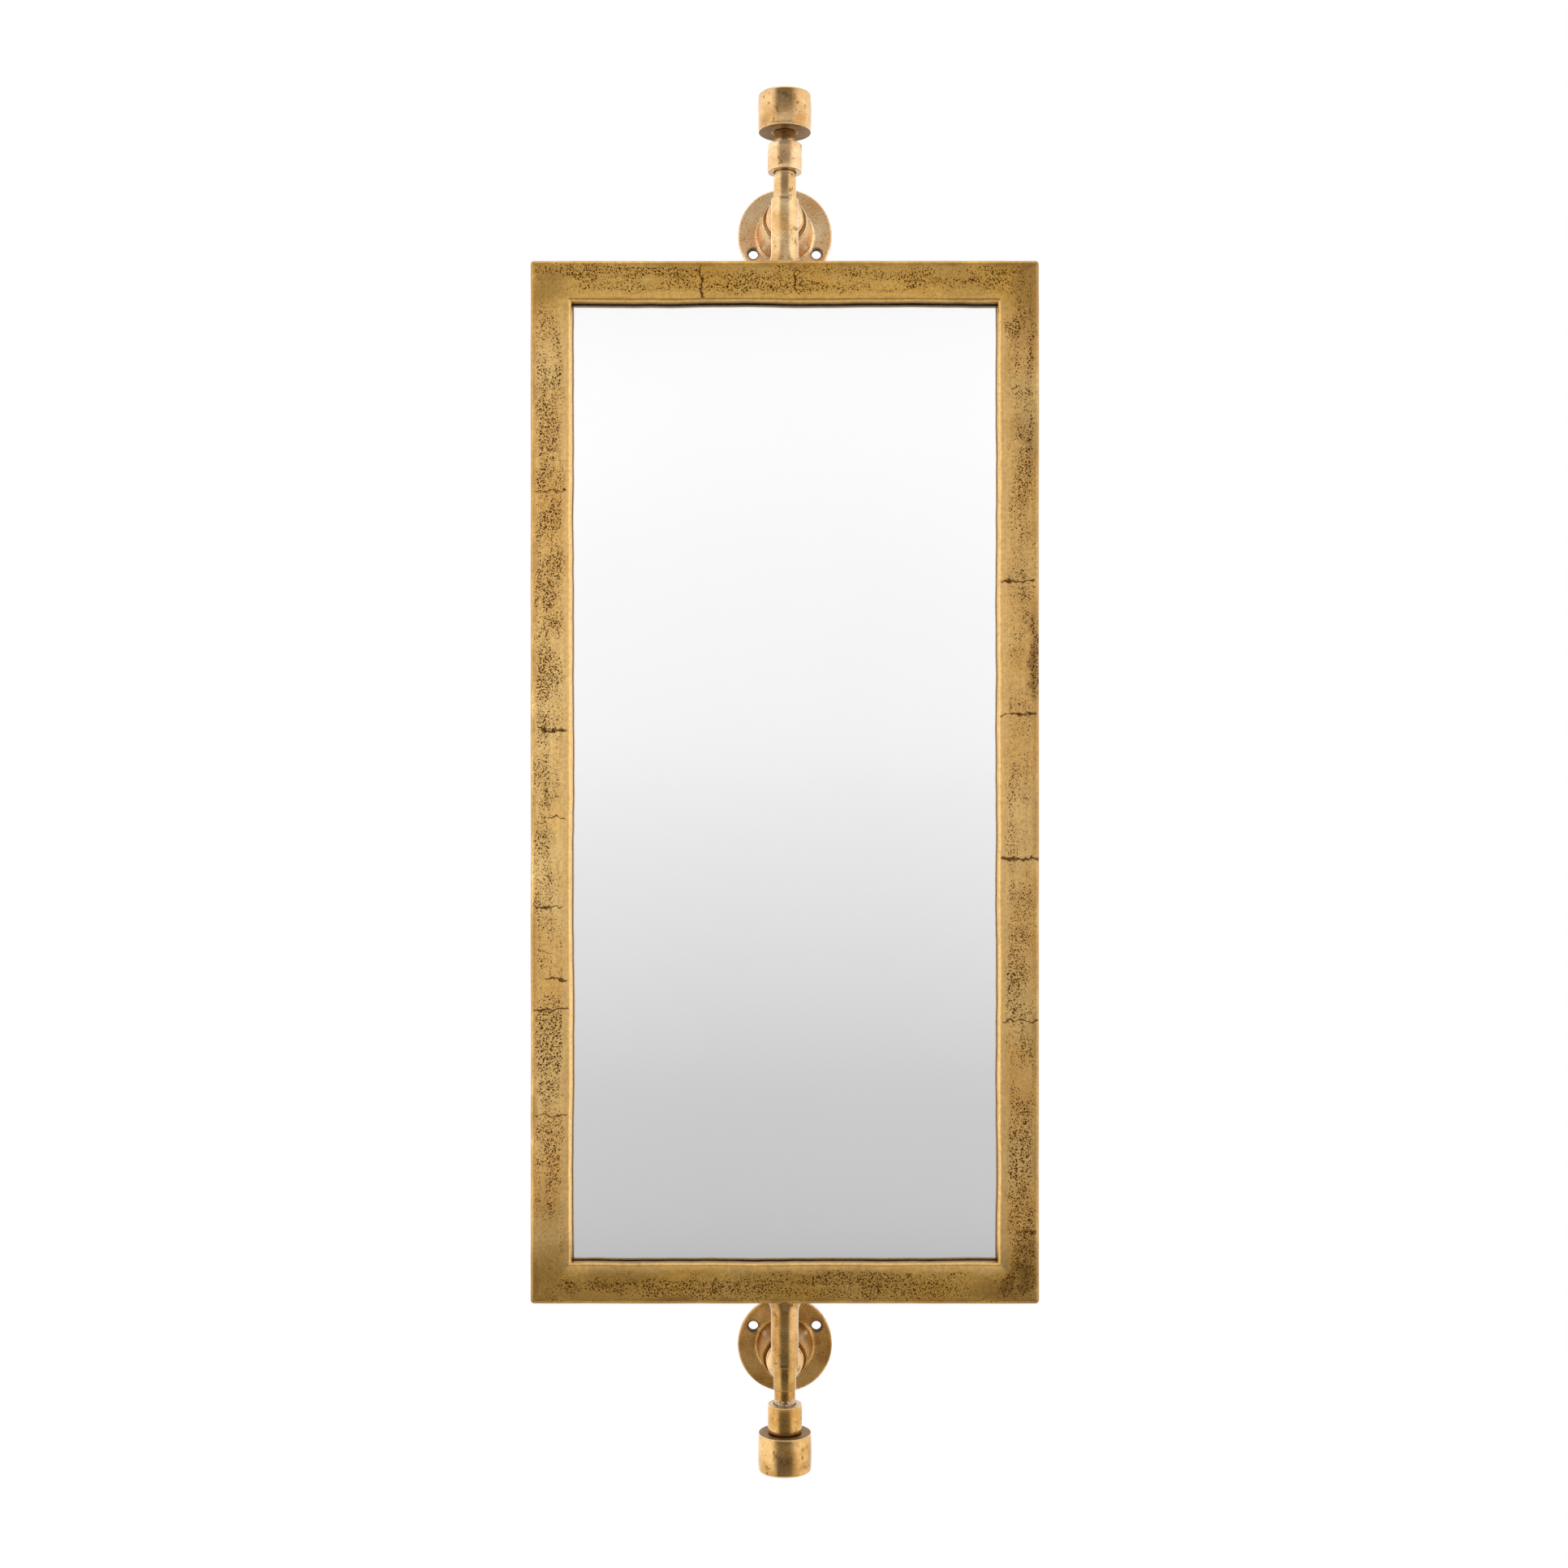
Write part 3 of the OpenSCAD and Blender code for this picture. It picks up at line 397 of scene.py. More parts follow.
# Silver on the back of the sheet: a neutral reflection that is only just less than all the light
silvering, tree, shader = new_material("silvering")
at = add(tree, "TexCoord").outputs["Object"]
haze = add(tree, "TexNoise", {"Vector": at, "Scale": 1000 / 90, "Detail": 2}).outputs[0]
two_toned(tree, shader, haze, "#f8f8f9", "#fbfbfb")
shader.inputs["Roughness"].default_value = 0
shader.inputs["Metallic"].default_value = 1

glass = piece_from("silvered_glass", bm, on_mirror(), clear_glass, "mirror", "mirror_glass")
glass.data.materials.append(silvering)
for face in glass.data.polygons:
    face.use_smooth = False
    face.material_index = 1 if face.normal.y > 0.9 else 0

# ---- Behind the glass ----
# Foam strips between lip and glass, hardboard and corrugated card behind it, and a black sheet
# steel panel that twelve small screws hold in the back of the frame. Their solids are plain
# sheets, strips and screws as the real ones are, so they stay and only get their finishes.


def dress(node, material):
    """Gives a solid that is shown as it was packed its finish"""
    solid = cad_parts[node]
    solid.data.materials.clear()
    solid.data.materials.append(material)


# Closed-cell foam rubber: matt black, with fine cut cells
foam, tree, shader = new_material("closed_cell_foam_rubber")
at = add(tree, "TexCoord").outputs["Object"]
cells = add(tree, "TexVoronoi", {"Vector": at, "Scale": 1000 / 0.5}).outputs[0]
two_toned(tree, shader, cells, "#1c1c1c", "#2a2a29")
bump = add(tree, "Bump", {"Height": cells, "Strength": 0.5, "Distance": 0.0001}).outputs[0]
tree.links.new(bump, shader.inputs["Normal"])
shader.inputs["Roughness"].default_value = 0.85
dress("glass_gasket", foam)

# Pressed hardboard: brown, smooth on its face, with the fibres as fine flecks
hardboard, tree, shader = new_material("pressed_hardboard")
at = add(tree, "TexCoord").outputs["Object"]
fibres = add(tree, "Mapping", {"Vector": at, "Scale": (350, 900, 900)}).outputs[0]
fibres = add(tree, "TexNoise", {"Vector": fibres, "Scale": 1, "Detail": 4}).outputs[0]
two_toned(tree, shader, fibres, "#5a3f27", "#8a6844")
shader.inputs["Roughness"].default_value = 0.6
dress("backing_board", hardboard)

# Corrugated card: dull kraft brown, with its flutes showing through the liner. They are drawn
# about three times as far apart as real ones. A wave texture of scale 1 has 20 waves in 2 pi m
FLUTES_MM = 18.84
card, tree, shader = new_material("corrugated_kraft_card")
at = add(tree, "TexCoord").outputs["Object"]
flutes = add(tree, "TexWave", {"Vector": at, "Scale": 1000 / FLUTES_MM * 2 * math.pi / 20,
                               "Distortion": 0.4}, bands_direction="X").outputs["Fac"]
two_toned(tree, shader, flutes, "#a5835a", "#b69468")
bump = add(tree, "Bump", {"Height": flutes, "Strength": 0.4, "Distance": 0.0002}).outputs[0]
tree.links.new(bump, shader.inputs["Normal"])
shader.inputs["Roughness"].default_value = 0.85
dress("card_packing", card)

# Powder-coated sheet steel: satin black with a fine orange-peel skin
powder, tree, shader = new_material("black_powder_coated_steel")
at = add(tree, "TexCoord").outputs["Object"]
peel = add(tree, "TexNoise", {"Vector": at, "Scale": 1000 / 1.6, "Detail": 2}).outputs[0]
haze = add(tree, "TexNoise", {"Vector": at, "Scale": 1000 / 90, "Detail": 3}).outputs[0]
two_toned(tree, shader, haze, "#1d1d1e", "#2b2b2b")
gloss = add(tree, "MapRange", {0: haze, 1: 0.3, 2: 0.7, 3: 0.42, 4: 0.56}).outputs[0]
tree.links.new(gloss, shader.inputs["Roughness"])
bump = add(tree, "Bump", {"Height": peel, "Strength": 0.35, "Distance": 0.0001}).outputs[0]
tree.links.new(bump, shader.inputs["Normal"])
dress("back_panel", powder)

# Zinc-plated steel: bright grey with a faint blue-yellow bloom of the passivation
zinc, tree, shader = new_material("zinc_plated_steel")
at = add(tree, "TexCoord").outputs["Object"]
bloom = add(tree, "TexNoise", {"Vector": at, "Scale": 1000 / 4, "Detail": 3}).outputs[0]
two_toned(tree, shader, bloom, "#b3b6ba", "#c6c2b2")
gloss = add(tree, "MapRange", {0: bloom, 1: 0.3, 2: 0.7, 3: 0.28, 4: 0.42}).outputs[0]
tree.links.new(gloss, shader.inputs["Roughness"])
shader.inputs["Metallic"].default_value = 1
dress("back_panel_screws", zinc)

# ---- Posts ----
# A short turned brass sleeve stands on each rail. Its foot flares out and is brazed to the
# rail, lapping down over its edges, and the braze is filed so that one runs into the other.
POST_R, FLARE_R, FLARE_H, POST_L, RAIL_TOP = 9.3, 11.8, 7.5, 43, OPEN_Z + BAR_W
# Tool marks and skin are finer on the real fittings; these are as coarse as they need to be
RING_MM, SKIN_MM, STAIN_MM, SPOT_MM = 0.9, 1.2, 5, 1.6


def turned(profile, steps=72):
    """Spins a half profile of (radius, height, rounding) about +Z and rounds its edges"""
    bm = bmesh.new()
    points = [bm.verts.new((r, 0, h)) for r, h, rounding in profile]
    pairs = zip(points, points[1:] + points[:1])
    edges = [bm.edges.new(pair) for pair in pairs if any(v.co.x > 0 for v in pair)]
    bmesh.ops.spin(bm, geom=points + edges, cent=(0, 0, 0), axis=(0, 0, 1), angle=2 * math.pi,
                   steps=steps, use_merge=True)
    bmesh.ops.remove_doubles(bm, verts=bm.verts, dist=WELD)
    bmesh.ops.recalc_face_normals(bm, faces=bm.faces)
    for i, (r, h, rounding) in enumerate(profile):
        if rounding:
            before = Vector(profile[i - 1][:2]) - Vector((r, h))
            after = Vector((r, h)) - Vector(profile[(i + 1) % len(profile)][:2])
            ring = [e for e in bm.edges if all(
                abs(v.co.xy.length - r) < NEAR and abs(v.co.z - h) < NEAR for v in e.verts)]
            bmesh.ops.bevel(bm, geom=ring, offset=rounding * math.tan(before.angle(after) / 2),
                            offset_type="OFFSET", segments=3 + round(rounding), profile=0.5,
                            affect="EDGES", material=-1)
    return bm


def hand_worked(bm, depth, size, seed, pitch=3):
    """Takes up to a depth off all over, unevenly, as files and polishing mops do"""
    low, high = min(v.co.z for v in bm.verts), max(v.co.z for v in bm.verts)
    for i in range(1, int((high - low) / pitch)):
        bmesh.ops.bisect_plane(bm, geom=bm.verts[:] + bm.edges[:] + bm.faces[:],
                               plane_co=(0, 0, low + i * pitch), plane_no=(0, 0, 1))
    bm.normal_update()
    worn = [v.normal * depth * (noise.noise(v.co / size + Vector((seed, seed, seed))) - 1) / 2
            for v in bm.verts]
    for v, move in zip(bm.verts, worn):
        v.co += move


def turned_brass(name, rings, light, dark, ends=0, wear=None):
    """Turned, brushed and lightly darkened brass: gold in soft streaks, with fine rings round it,
    a few small pits, end faces that are duller and partly darkened as painted shade, pale rims on
    the roundings that are partly painted highlight, and where given a worn silvery band between
    two heights"""
    material, tree, shader = new_material(name)
    spot = add(tree, "TexCoord")
    at = spot.outputs["Object"]
    cut = add(tree, "Mapping", {"Vector": at, "Scale": rings}).outputs[0]
    cut = add(tree, "TexNoise", {"Vector": cut, "Scale": 1, "Detail": 3}).outputs[0]
    cloud = add(tree, "TexNoise", {"Vector": at, "Scale": 1000 / 13, "Detail": 5}).outputs[0]
    cloud = add(tree, "MapRange", {0: cloud, 1: 0.36, 2: 0.64, 3: 0, 4: 1}).outputs[0]
    colour = add(tree, "Mix", {0: cloud, 6: linear(dark), 7: linear(light)},
                 data_type="RGBA").outputs[2]
    skin = add(tree, "TexNoise", {"Vector": at, "Scale": 1000 / SKIN_MM, "Detail": 4}).outputs[0]
    shade = add(tree, "Math", {0: cut, 1: 0.35, 2: skin}, operation="MULTIPLY_ADD").outputs[0]
    shade = add(tree, "MapRange", {0: shade, 1: 0.48, 2: 0.87, 3: 0.84, 4: 1.08}).outputs[0]
    colour = add(tree, "Mix", {0: 1, 6: colour, 7: shade}, data_type="RGBA",
                 blend_type="MULTIPLY").outputs[2]
    stain = add(tree, "TexNoise", {"Vector": at, "Scale": 1000 / STAIN_MM, "Detail": 5}).outputs[0]
    spots = add(tree, "TexVoronoi", {"Vector": at, "Scale": 1000 / SPOT_MM}).outputs[0]
    reach = add(tree, "MapRange", {0: stain, 1: 0.48, 2: 0.72, 3: 0.08, 4: 0.42}).outputs[0]
    spots = add(tree, "Math", {0: spots, 1: reach}, operation="SUBTRACT").outputs[0]
    spots = add(tree, "MapRange", {0: spots, 1: -0.08, 2: 0.06, 3: 0.7, 4: 0}, **SOFT).outputs[0]
    stain = add(tree, "MapRange", {0: stain, 1: 0.57, 2: 0.7, 3: 0, 4: 0.7}, **SOFT).outputs[0]
    rough = add(tree, "MapRange", {0: cloud, 1: 0, 2: 1, 3: 0.24, 4: 0.16}).outputs[0]
    rough = add(tree, "Math", {0: spots, 1: 0.3, 2: rough}, operation="MULTIPLY_ADD").outputs[0]
    over = [(stain, "#8f6a38"), (spots, "#5a4020")]
    if ends:
        # Faces that point up or down are duller and darker, partly unpolished ends and partly
        # painted shade; the pale band on the roundings is partly rubbed wear and partly painted
        # highlight
        tilt = add(tree, "SeparateXYZ", {0: spot.outputs["Normal"]}).outputs[2]
        tilt = add(tree, "Math", {0: tilt}, operation="ABSOLUTE").outputs[0]
        rubbed = add(tree, "MapRange", {0: tilt, 1: 0.12, 2: 0.5, 3: 0, 4: 0.7}, **SOFT).outputs[0]
        facing = add(tree, "MapRange", {0: tilt, 1: 0.75, 2: 0.97, 3: 0, 4: ends},
                     **SOFT).outputs[0]
        rough = add(tree, "Math", {0: facing, 1: 0.25, 2: rough},
                    operation="MULTIPLY_ADD").outputs[0]
        over += [(rubbed, "#f7dcae"), (facing, "#73532b")]
    if wear:
        height = add(tree, "SeparateXYZ", {0: at}).outputs[2]
        grains = add(tree, "TexNoise", {"Vector": at, "Scale": 1000 / 1.1, "Detail": 4}).outputs[0]
        ragged = add(tree, "Math", {0: grains, 1: 0.014, 2: height},
                     operation="MULTIPLY_ADD").outputs[0]
        bare = add(tree, "MapRange", {0: ragged, 1: wear[0], 2: wear[1], 3: 1, 4: 0},
                   **SOFT).outputs[0]
        rough = add(tree, "Math", {0: bare, 1: 0.25, 2: rough}, operation="MULTIPLY_ADD").outputs[0]
        over.append((bare, "#ddd2bd"))
    for share, tint in over:
        colour = add(tree, "Mix", {0: share, 6: colour, 7: linear(tint)},
                     data_type="RGBA").outputs[2]
    tree.links.new(colour, shader.inputs["Base Color"])
    tree.links.new(rough, shader.inputs["Roughness"])
    relief = add(tree, "Math", {0: skin, 1: 0.6}, operation="MULTIPLY").outputs[0]
    relief = add(tree, "Math", {0: relief, 1: spots}, operation="SUBTRACT").outputs[0]
    bump = add(tree, "Bump", {"Height": relief, "Strength": 0.5, "Distance": 0.0001}).outputs[0]
    tree.links.new(bump, shader.inputs["Normal"])
    shader.inputs["Metallic"].default_value = 1
    return material


# Painted light and shade: the upper fittings are given paler tones and the lower ones browner,
# darker tones, so each has its own two tones
FOOT_DEPTH = 5
flare_arc = (FLARE_H ** 2 + (FLARE_R - POST_R) ** 2) / (2 * (FLARE_R - POST_R))
flare = [(POST_R + flare_arc - math.sqrt(flare_arc ** 2 - (FLARE_H - h) ** 2), h, 0)
         for h in (0, 0.6, 1.3, 2.1, 3, 4.1, 5.4, 6.6)]
for side, half, light, dark in (("top", 1, "#ecca9a", "#d2a66a"),
                                ("bottom", -1, "#cca46a", "#aa7c40")):
    bm = turned([(0, -FOOT_DEPTH, 0), (8.6, -FOOT_DEPTH, 0), (9.7, -3, 0), (10.9, -1.5, 0)] + flare
                + [(POST_R, FLARE_H + 0.5, 0), (POST_R, POST_L, 0.5), (0, POST_L, 0)])
    hand_worked(bm, depth=0.3, size=11, seed=3 * half)
    for v in bm.verts:
        if v.co.z < FLARE_H:
            v.co.y *= min(1, (POST_R - 0.1) / max(1, v.co.xy.length))
    post_brass = turned_brass(side + "_post_brass", (60, 60, 1000 / RING_MM), light, dark)
    piece_from(side + "_flared_post", bm, on_mirror(half, RAIL_TOP), post_brass, "mirror",
               side + "_post")

# ---- Spindles ----
# Each is turned in one piece: a thread in the rail and through the post, a plain length, a
# shoulder, the journal that turns in the eye, and the thread that takes the end cap. The lower
# one is worn bright just above its eye.
THREAD_R, SPINDLE_R, JOURNAL_R = 5, 7.5, 7
SHOULDER_H, JOURNAL_END, SPINDLE_END = 58.6, 87.6, 102.6
SPINDLE = [(0, -12, 0), (THREAD_R, -12, 0.5), (THREAD_R, POST_L, 0), (SPINDLE_R, POST_L, 0),
           (SPINDLE_R, SHOULDER_H, 0.4), (JOURNAL_R, SHOULDER_H, 0), (JOURNAL_R, JOURNAL_END, 0.3),
           (THREAD_R, JOURNAL_END, 0), (THREAD_R, SPINDLE_END, 0.5), (0, SPINDLE_END, 0)]
# Painted light and shade: the top spindle is given paler tones and the bottom one browner, darker
# ones
for side, half, light, dark, wear in (("top", 1, "#edcf9e", "#d4aa70", None),
                                      ("bottom", -1, "#c69c5a", "#a6773a", (-0.8212, -0.8168))):
    spindle_brass = turned_brass(side + "_spindle_brass", (60, 60, 1000 / RING_MM), light, dark,
                                 wear=wear)
    piece_from(side + "_turned_spindle", turned(SPINDLE), on_mirror(half, RAIL_TOP), spindle_brass,
               "mirror", side + "_spindle")

# ---- End caps ----
# A heavy knob screws on to each spindle against its journal. Its side swells a little, its ends
# are rounded, and a shallow dish is turned round the journal. A set screw locks it from behind.
CAP_R, CAP_H, SWELL, CAP_ROUND, FOOT_ROUND = 18, 25.4, 0.35, 1.6, 0.6
CAP_FOOT, CAP_THREAD_R, CAP_THREAD_END, DISH_DEPTH, SET_SCREW_R = 432, 5.05, 16.6, 0.6, 2.55


def shaped(bm, tool, operation):
    """Cuts a tool out of a mesh or joins it on, and gives the mesh that it makes"""
    solids = []
    for part in (bm, tool):
        bmesh.ops.recalc_face_normals(part, faces=part.faces)
        mesh = bpy.data.meshes.new("blank")
        part.to_mesh(mesh)
        part.free()
        solids.append(bpy.data.objects.new("blank", mesh))
        bpy.context.scene.collection.objects.link(solids[-1])
    change = solids[0].modifiers.new("change", "BOOLEAN")
    change.operation, change.object, change.solver = operation, solids[1], "EXACT"
    result = bmesh.new()
    result.from_object(solids[0], bpy.context.evaluated_depsgraph_get())
    for solid in solids:
        bpy.data.objects.remove(solid)
    return result


swell = [(CAP_R - SWELL * u * u, CAP_H / 2 + u * (CAP_H / 2 - CAP_ROUND), 0)
         for u in (-1, -0.8, -0.6, -0.4, -0.2, 0, 0.2, 0.4, 0.6, 0.8, 1)]
# Painted light and shade: the top cap is given slightly paler tones than the bottom one
for side, half, light, dark in (("top", 1, "#dfb882", "#c0905a"),
                                ("bottom", -1, "#dcb478", "#bc8c4e")):
    bm = turned([(0, CAP_THREAD_END, 0), (CAP_THREAD_R, CAP_THREAD_END, 0),
                 (CAP_THREAD_R, DISH_DEPTH, 0), (8, DISH_DEPTH, 0.2), (9, 0, 0.3),
                 (CAP_R - SWELL, 0, FOOT_ROUND)] + swell
                + [(CAP_R - SWELL, CAP_H, CAP_ROUND), (0, CAP_H, 0)], steps=96)
    hole = turned([(0, 0, 0), (SET_SCREW_R, 0, 0), (SET_SCREW_R, 30, 0), (0, 30, 0)], steps=24)
    bmesh.ops.transform(hole, verts=hole.verts, matrix=Matrix.Translation((0, 0, CAP_H / 2))
                        @ Matrix.Rotation(math.radians(-90), 4, "X"))
    hand_worked(bm, depth=0.3, size=12, seed=5 + half, pitch=50)
    bm = shaped(bm, hole, "DIFFERENCE")
    cap_brass = turned_brass(side + "_cap_brass", (60, 60, 1000 / RING_MM), light, dark, ends=0.9)
    piece_from(side + "_end_cap", bm, on_mirror(half, CAP_FOOT), cap_brass, "mirror",
               side + "_cap")
    dress(side + "_cap_set_screw", zinc)

# ---- Eyes and bushes ----
# A cast ring on a short neck carries each journal in a thin nylon bush, which shows as a dark
# line round it. The arm's tenon is brazed into the neck from behind.
EYE_R, EYE_L, EYE_BORE_R, REACH, EYES_APART = 11.6, 18.5, 7.75, 175, 837.1
NECK_R, NECK_END = 7.5, 15.1


def on_bracket(side, tilt=0):
    """Puts millimetres from a plate's middle on the wall in their place, with +Z turned to
    point off the wall if tilt is 90"""
    wall = Matrix.Translation((0, 0, min(side, 0) * EYES_APART)) @ Matrix.Diagonal((1, 1, side, 1))
    return wall @ Matrix.Rotation(math.radians(tilt), 4, "X")


# Painted light and shade: the top eye is given paler tones and the bottom one browner, darker ones
for side, half, light, dark in (("top", 1, "#eecda2", "#d8ae7c"),
                                ("bottom", -1, "#d8b06e", "#be8e4c")):
    bm = turned([(0, -EYE_L / 2, 0), (EYE_R, -EYE_L / 2, 0.7), (EYE_R, EYE_L / 2, 0.9),
                 (0, EYE_L / 2, 0)], steps=96)
    neck = turned([(0, -NECK_END, 0), (NECK_R, -NECK_END, 0.3), (NECK_R, -10.9, 0),
                   (NECK_R + 0.35, -9.8, 0), (NECK_R + 1, -8.7, 0), (NECK_R + 1, -6, 0),
                   (0, -6, 0)])
    bmesh.ops.transform(neck, verts=neck.verts, matrix=Matrix.Rotation(math.radians(90), 4, "X"))
    bore = turned([(0, -20, 0), (EYE_BORE_R, -20, 0), (EYE_BORE_R, 20, 0), (0, 20, 0)], steps=96)
    hand_worked(bm, depth=0.35, size=9, seed=8 + half)
    bm = shaped(shaped(bm, neck, "UNION"), bore, "DIFFERENCE")
    eye_brass = turned_brass(side + "_eye_brass", (300, 300, 400), light, dark, ends=0.45)
    piece_from(side + "_cast_eye", bm, on_bracket(half) @ Matrix.Translation((0, -REACH, 0)),
               eye_brass, "wall_brackets", side + "_eye")

# Black nylon: a soft sheen, with the fine rings of its reaming
nylon, tree, shader = new_material("machined_black_nylon")
at = add(tree, "TexCoord").outputs["Object"]
rings = add(tree, "Mapping", {"Vector": at, "Scale": (50, 50, 1000 / 0.5)}).outputs[0]
rings = add(tree, "TexNoise", {"Vector": rings, "Scale": 1, "Detail": 2}).outputs[0]
two_toned(tree, shader, rings, "#171717", "#262524")
bump = add(tree, "Bump", {"Height": rings, "Strength": 0.3, "Distance": 0.00005}).outputs[0]
tree.links.new(bump, shader.inputs["Normal"])
shader.inputs["Roughness"].default_value = 0.45
for side in ("top", "bottom"):
    dress(side + "_eye_bush", nylon)

# ---- Arms ----
# Turned in one piece: a spigot in the plate, a collar that fills the socket, a groove, a domed
# foot, and the straight round arm that ends in the eye. A socket screw with a lock washer pulls
# it into the plate from behind.
ARM_R, DOME_R, DOME_BASE, FILLET_R, ARM_END = 6.5, 13.35, 50, 3, 159.9
SPIGOT_R, COLLAR_R, GROOVE_R, TENON_R = 10, 13.9, 12.75, 4
SOCKET_FLOOR, SEAT_H, COLLAR_H, GROOVE_H = 17, 37, 47.5, 48.5
arm_brass = turned_brass("turned_arm_brass", (60, 1000 / RING_MM, 60), "#e8c186", "#c8995a")
fillet_x = ARM_R + FILLET_R
fillet_h = DOME_BASE + math.sqrt((DOME_R + FILLET_R) ** 2 - fillet_x ** 2)
dome_end = math.degrees(math.asin((fillet_h - DOME_BASE) / (DOME_R + FILLET_R)))
dome = [(DOME_R * math.cos(math.radians(a)), DOME_BASE + DOME_R * math.sin(math.radians(a)), 0)
        for a in (0, 9, 18, 27, 36, 45, dome_end)]
fillet = [(fillet_x - FILLET_R * math.cos(math.radians(a)),
           fillet_h - FILLET_R * math.sin(math.radians(a)), 0) for a in (41, 27, 13, 0)]
for side, half in (("top", 1), ("bottom", -1)):
    bm = turned([(0, SOCKET_FLOOR, 0), (SPIGOT_R, SOCKET_FLOOR, 0.5), (SPIGOT_R, SEAT_H, 0),
                 (COLLAR_R, SEAT_H, 0), (COLLAR_R, COLLAR_H, 1.2), (GROOVE_R, COLLAR_H, 0),
                 (GROOVE_R, GROOVE_H, 0), (DOME_R, GROOVE_H, 0.3)] + dome + fillet
                + [(ARM_R, ARM_END, 0.2), (TENON_R, ARM_END, 0), (TENON_R, ARM_END + 6, 0.4),
                   (0, ARM_END + 6, 0)], steps=96)
    hand_worked(bm, depth=0.2, size=13, seed=11 + half, pitch=6)
    piece_from(side + "_turned_arm", bm, on_bracket(half, 90), arm_brass, "wall_brackets",
               side + "_arm")
    dress(side + "_arm_screw", zinc)
    dress(side + "_arm_washer", zinc)

# ---- Wall plates ----
# A round casting on the wall with three countersunk screw holes and a tapered boss, whose
# socket takes the arm. The cast skin stays a little grainy.
PLATE_R, PLATE_T, BOSS_BASE_R, BOSS_RIM_R, BOSS_H, MOUTH_R = 35.5, 5.5, 20.7, 17.15, 40.5, 14.8
RIM_ROUND, HOLE_CIRCLE_R, HOLE_R, SINK_R = 1.15, 27.5, 3.65, 4.85
SOCKET_R, SCREW_WAY_R, RECESS_R, RECESS_END = 10.05, 4.3, 7.5, 11

# Cast brass, fettled and lightly darkened: grainy gold, painted paler on the upper plate and
# browner on the lower as painted light and shade, dark in the screw holes. The real grain is
# finer; this is as coarse as it needs to be to show
GRAINS_MM, TONES_MM = 0.9, 16
plate_brass, tree, shader = new_material("fettled_cast_brass")
spot = add(tree, "TexCoord")
at = spot.outputs["Object"]
cloud = add(tree, "TexNoise", {"Vector": at, "Scale": 1000 / TONES_MM, "Detail": 4}).outputs[0]
cloud = add(tree, "MapRange", {0: cloud, 1: 0.36, 2: 0.64, 3: 0, 4: 1}).outputs[0]
flat = add(tree, "SeparateXYZ", {0: at})
midway = EYES_APART / 2000
# Painted light and shade: the upper plate takes pale tones and the lower plate browner, darker ones
upper = add(tree, "Math", {0: flat.outputs[2], 1: -midway}, operation="GREATER_THAN").outputs[0]
pale = add(tree, "Mix", {0: cloud, 6: linear("#e4b27a"), 7: linear("#f8d8a8")},
           data_type="RGBA").outputs[2]
brown = add(tree, "Mix", {0: cloud, 6: linear("#a5763a"), 7: linear("#d6a662")},
            data_type="RGBA").outputs[2]
colour = add(tree, "Mix", {0: upper, 6: brown, 7: pale}, data_type="RGBA").outputs[2]
grains = add(tree, "TexNoise", {"Vector": at, "Scale": 1000 / GRAINS_MM, "Detail": 3}).outputs[0]
shade = add(tree, "MapRange", {0: grains, 1: 0.35, 2: 0.65, 3: 1.1, 4: 0.7}).outputs[0]
colour = add(tree, "Mix", {0: 1, 6: colour, 7: shade}, data_type="RGBA",
             blend_type="MULTIPLY").outputs[2]
spots = add(tree, "Math", {0: cloud, 1: -0.06, 2: grains}, operation="MULTIPLY_ADD").outputs[0]
spots = add(tree, "MapRange", {0: spots, 1: 0.575, 2: 0.66, 3: 0, 4: 0.8}, **SOFT).outputs[0]
# The screw holes' walls are dark, dull and not metallic: the faces that point along the wall,
# within 5.5 mm of the holes' circle and less than 6.5 mm off the wall
side = add(tree, "SeparateXYZ", {0: spot.outputs["Normal"]}).outputs[1]
side = add(tree, "Math", {0: side}, operation="ABSOLUTE").outputs[0]
side = add(tree, "MapRange", {0: side, 1: 0.6, 2: 0.8, 3: 1, 4: 0}).outputs[0]
height = add(tree, "Math", {0: flat.outputs[2], 1: midway}, operation="ADD").outputs[0]
height = add(tree, "Math", {0: height}, operation="ABSOLUTE").outputs[0]
height = add(tree, "Math", {0: height, 1: midway}, operation="SUBTRACT").outputs[0]
radius = add(tree, "CombineXYZ", {0: flat.outputs[0], 1: height}).outputs[0]
radius = add(tree, "VectorMath", {0: radius}, operation="LENGTH").outputs["Value"]
inside = add(tree, "Math", {0: radius, 1: HOLE_CIRCLE_R / 1000, 2: 0.0055},
             operation="COMPARE").outputs[0]
low = add(tree, "Math", {0: flat.outputs[1], 1: -0.0065}, operation="GREATER_THAN").outputs[0]
inside = add(tree, "Math", {0: inside, 1: low}, operation="MULTIPLY").outputs[0]
inside = add(tree, "Math", {0: inside, 1: side}, operation="MULTIPLY").outputs[0]
for share, tint in ((spots, "#5e4827"), (inside, "#2b1f10")):
    colour = add(tree, "Mix", {0: share, 6: colour, 7: linear(tint)}, data_type="RGBA").outputs[2]
metal = add(tree, "Math", {0: 1, 1: inside}, operation="SUBTRACT").outputs[0]
tree.links.new(metal, shader.inputs["Metallic"])
tree.links.new(colour, shader.inputs["Base Color"])
rough = add(tree, "MapRange", {0: cloud, 1: 0, 2: 1, 3: 0.42, 4: 0.32}).outputs[0]
rough = add(tree, "Math", {0: inside, 1: 0.5, 2: rough}, operation="MULTIPLY_ADD").outputs[0]
tree.links.new(rough, shader.inputs["Roughness"])
bump = add(tree, "Bump", {"Height": grains, "Strength": 0.5, "Distance": 0.00015}, invert=True)
tree.links.new(bump.outputs[0], shader.inputs["Normal"])

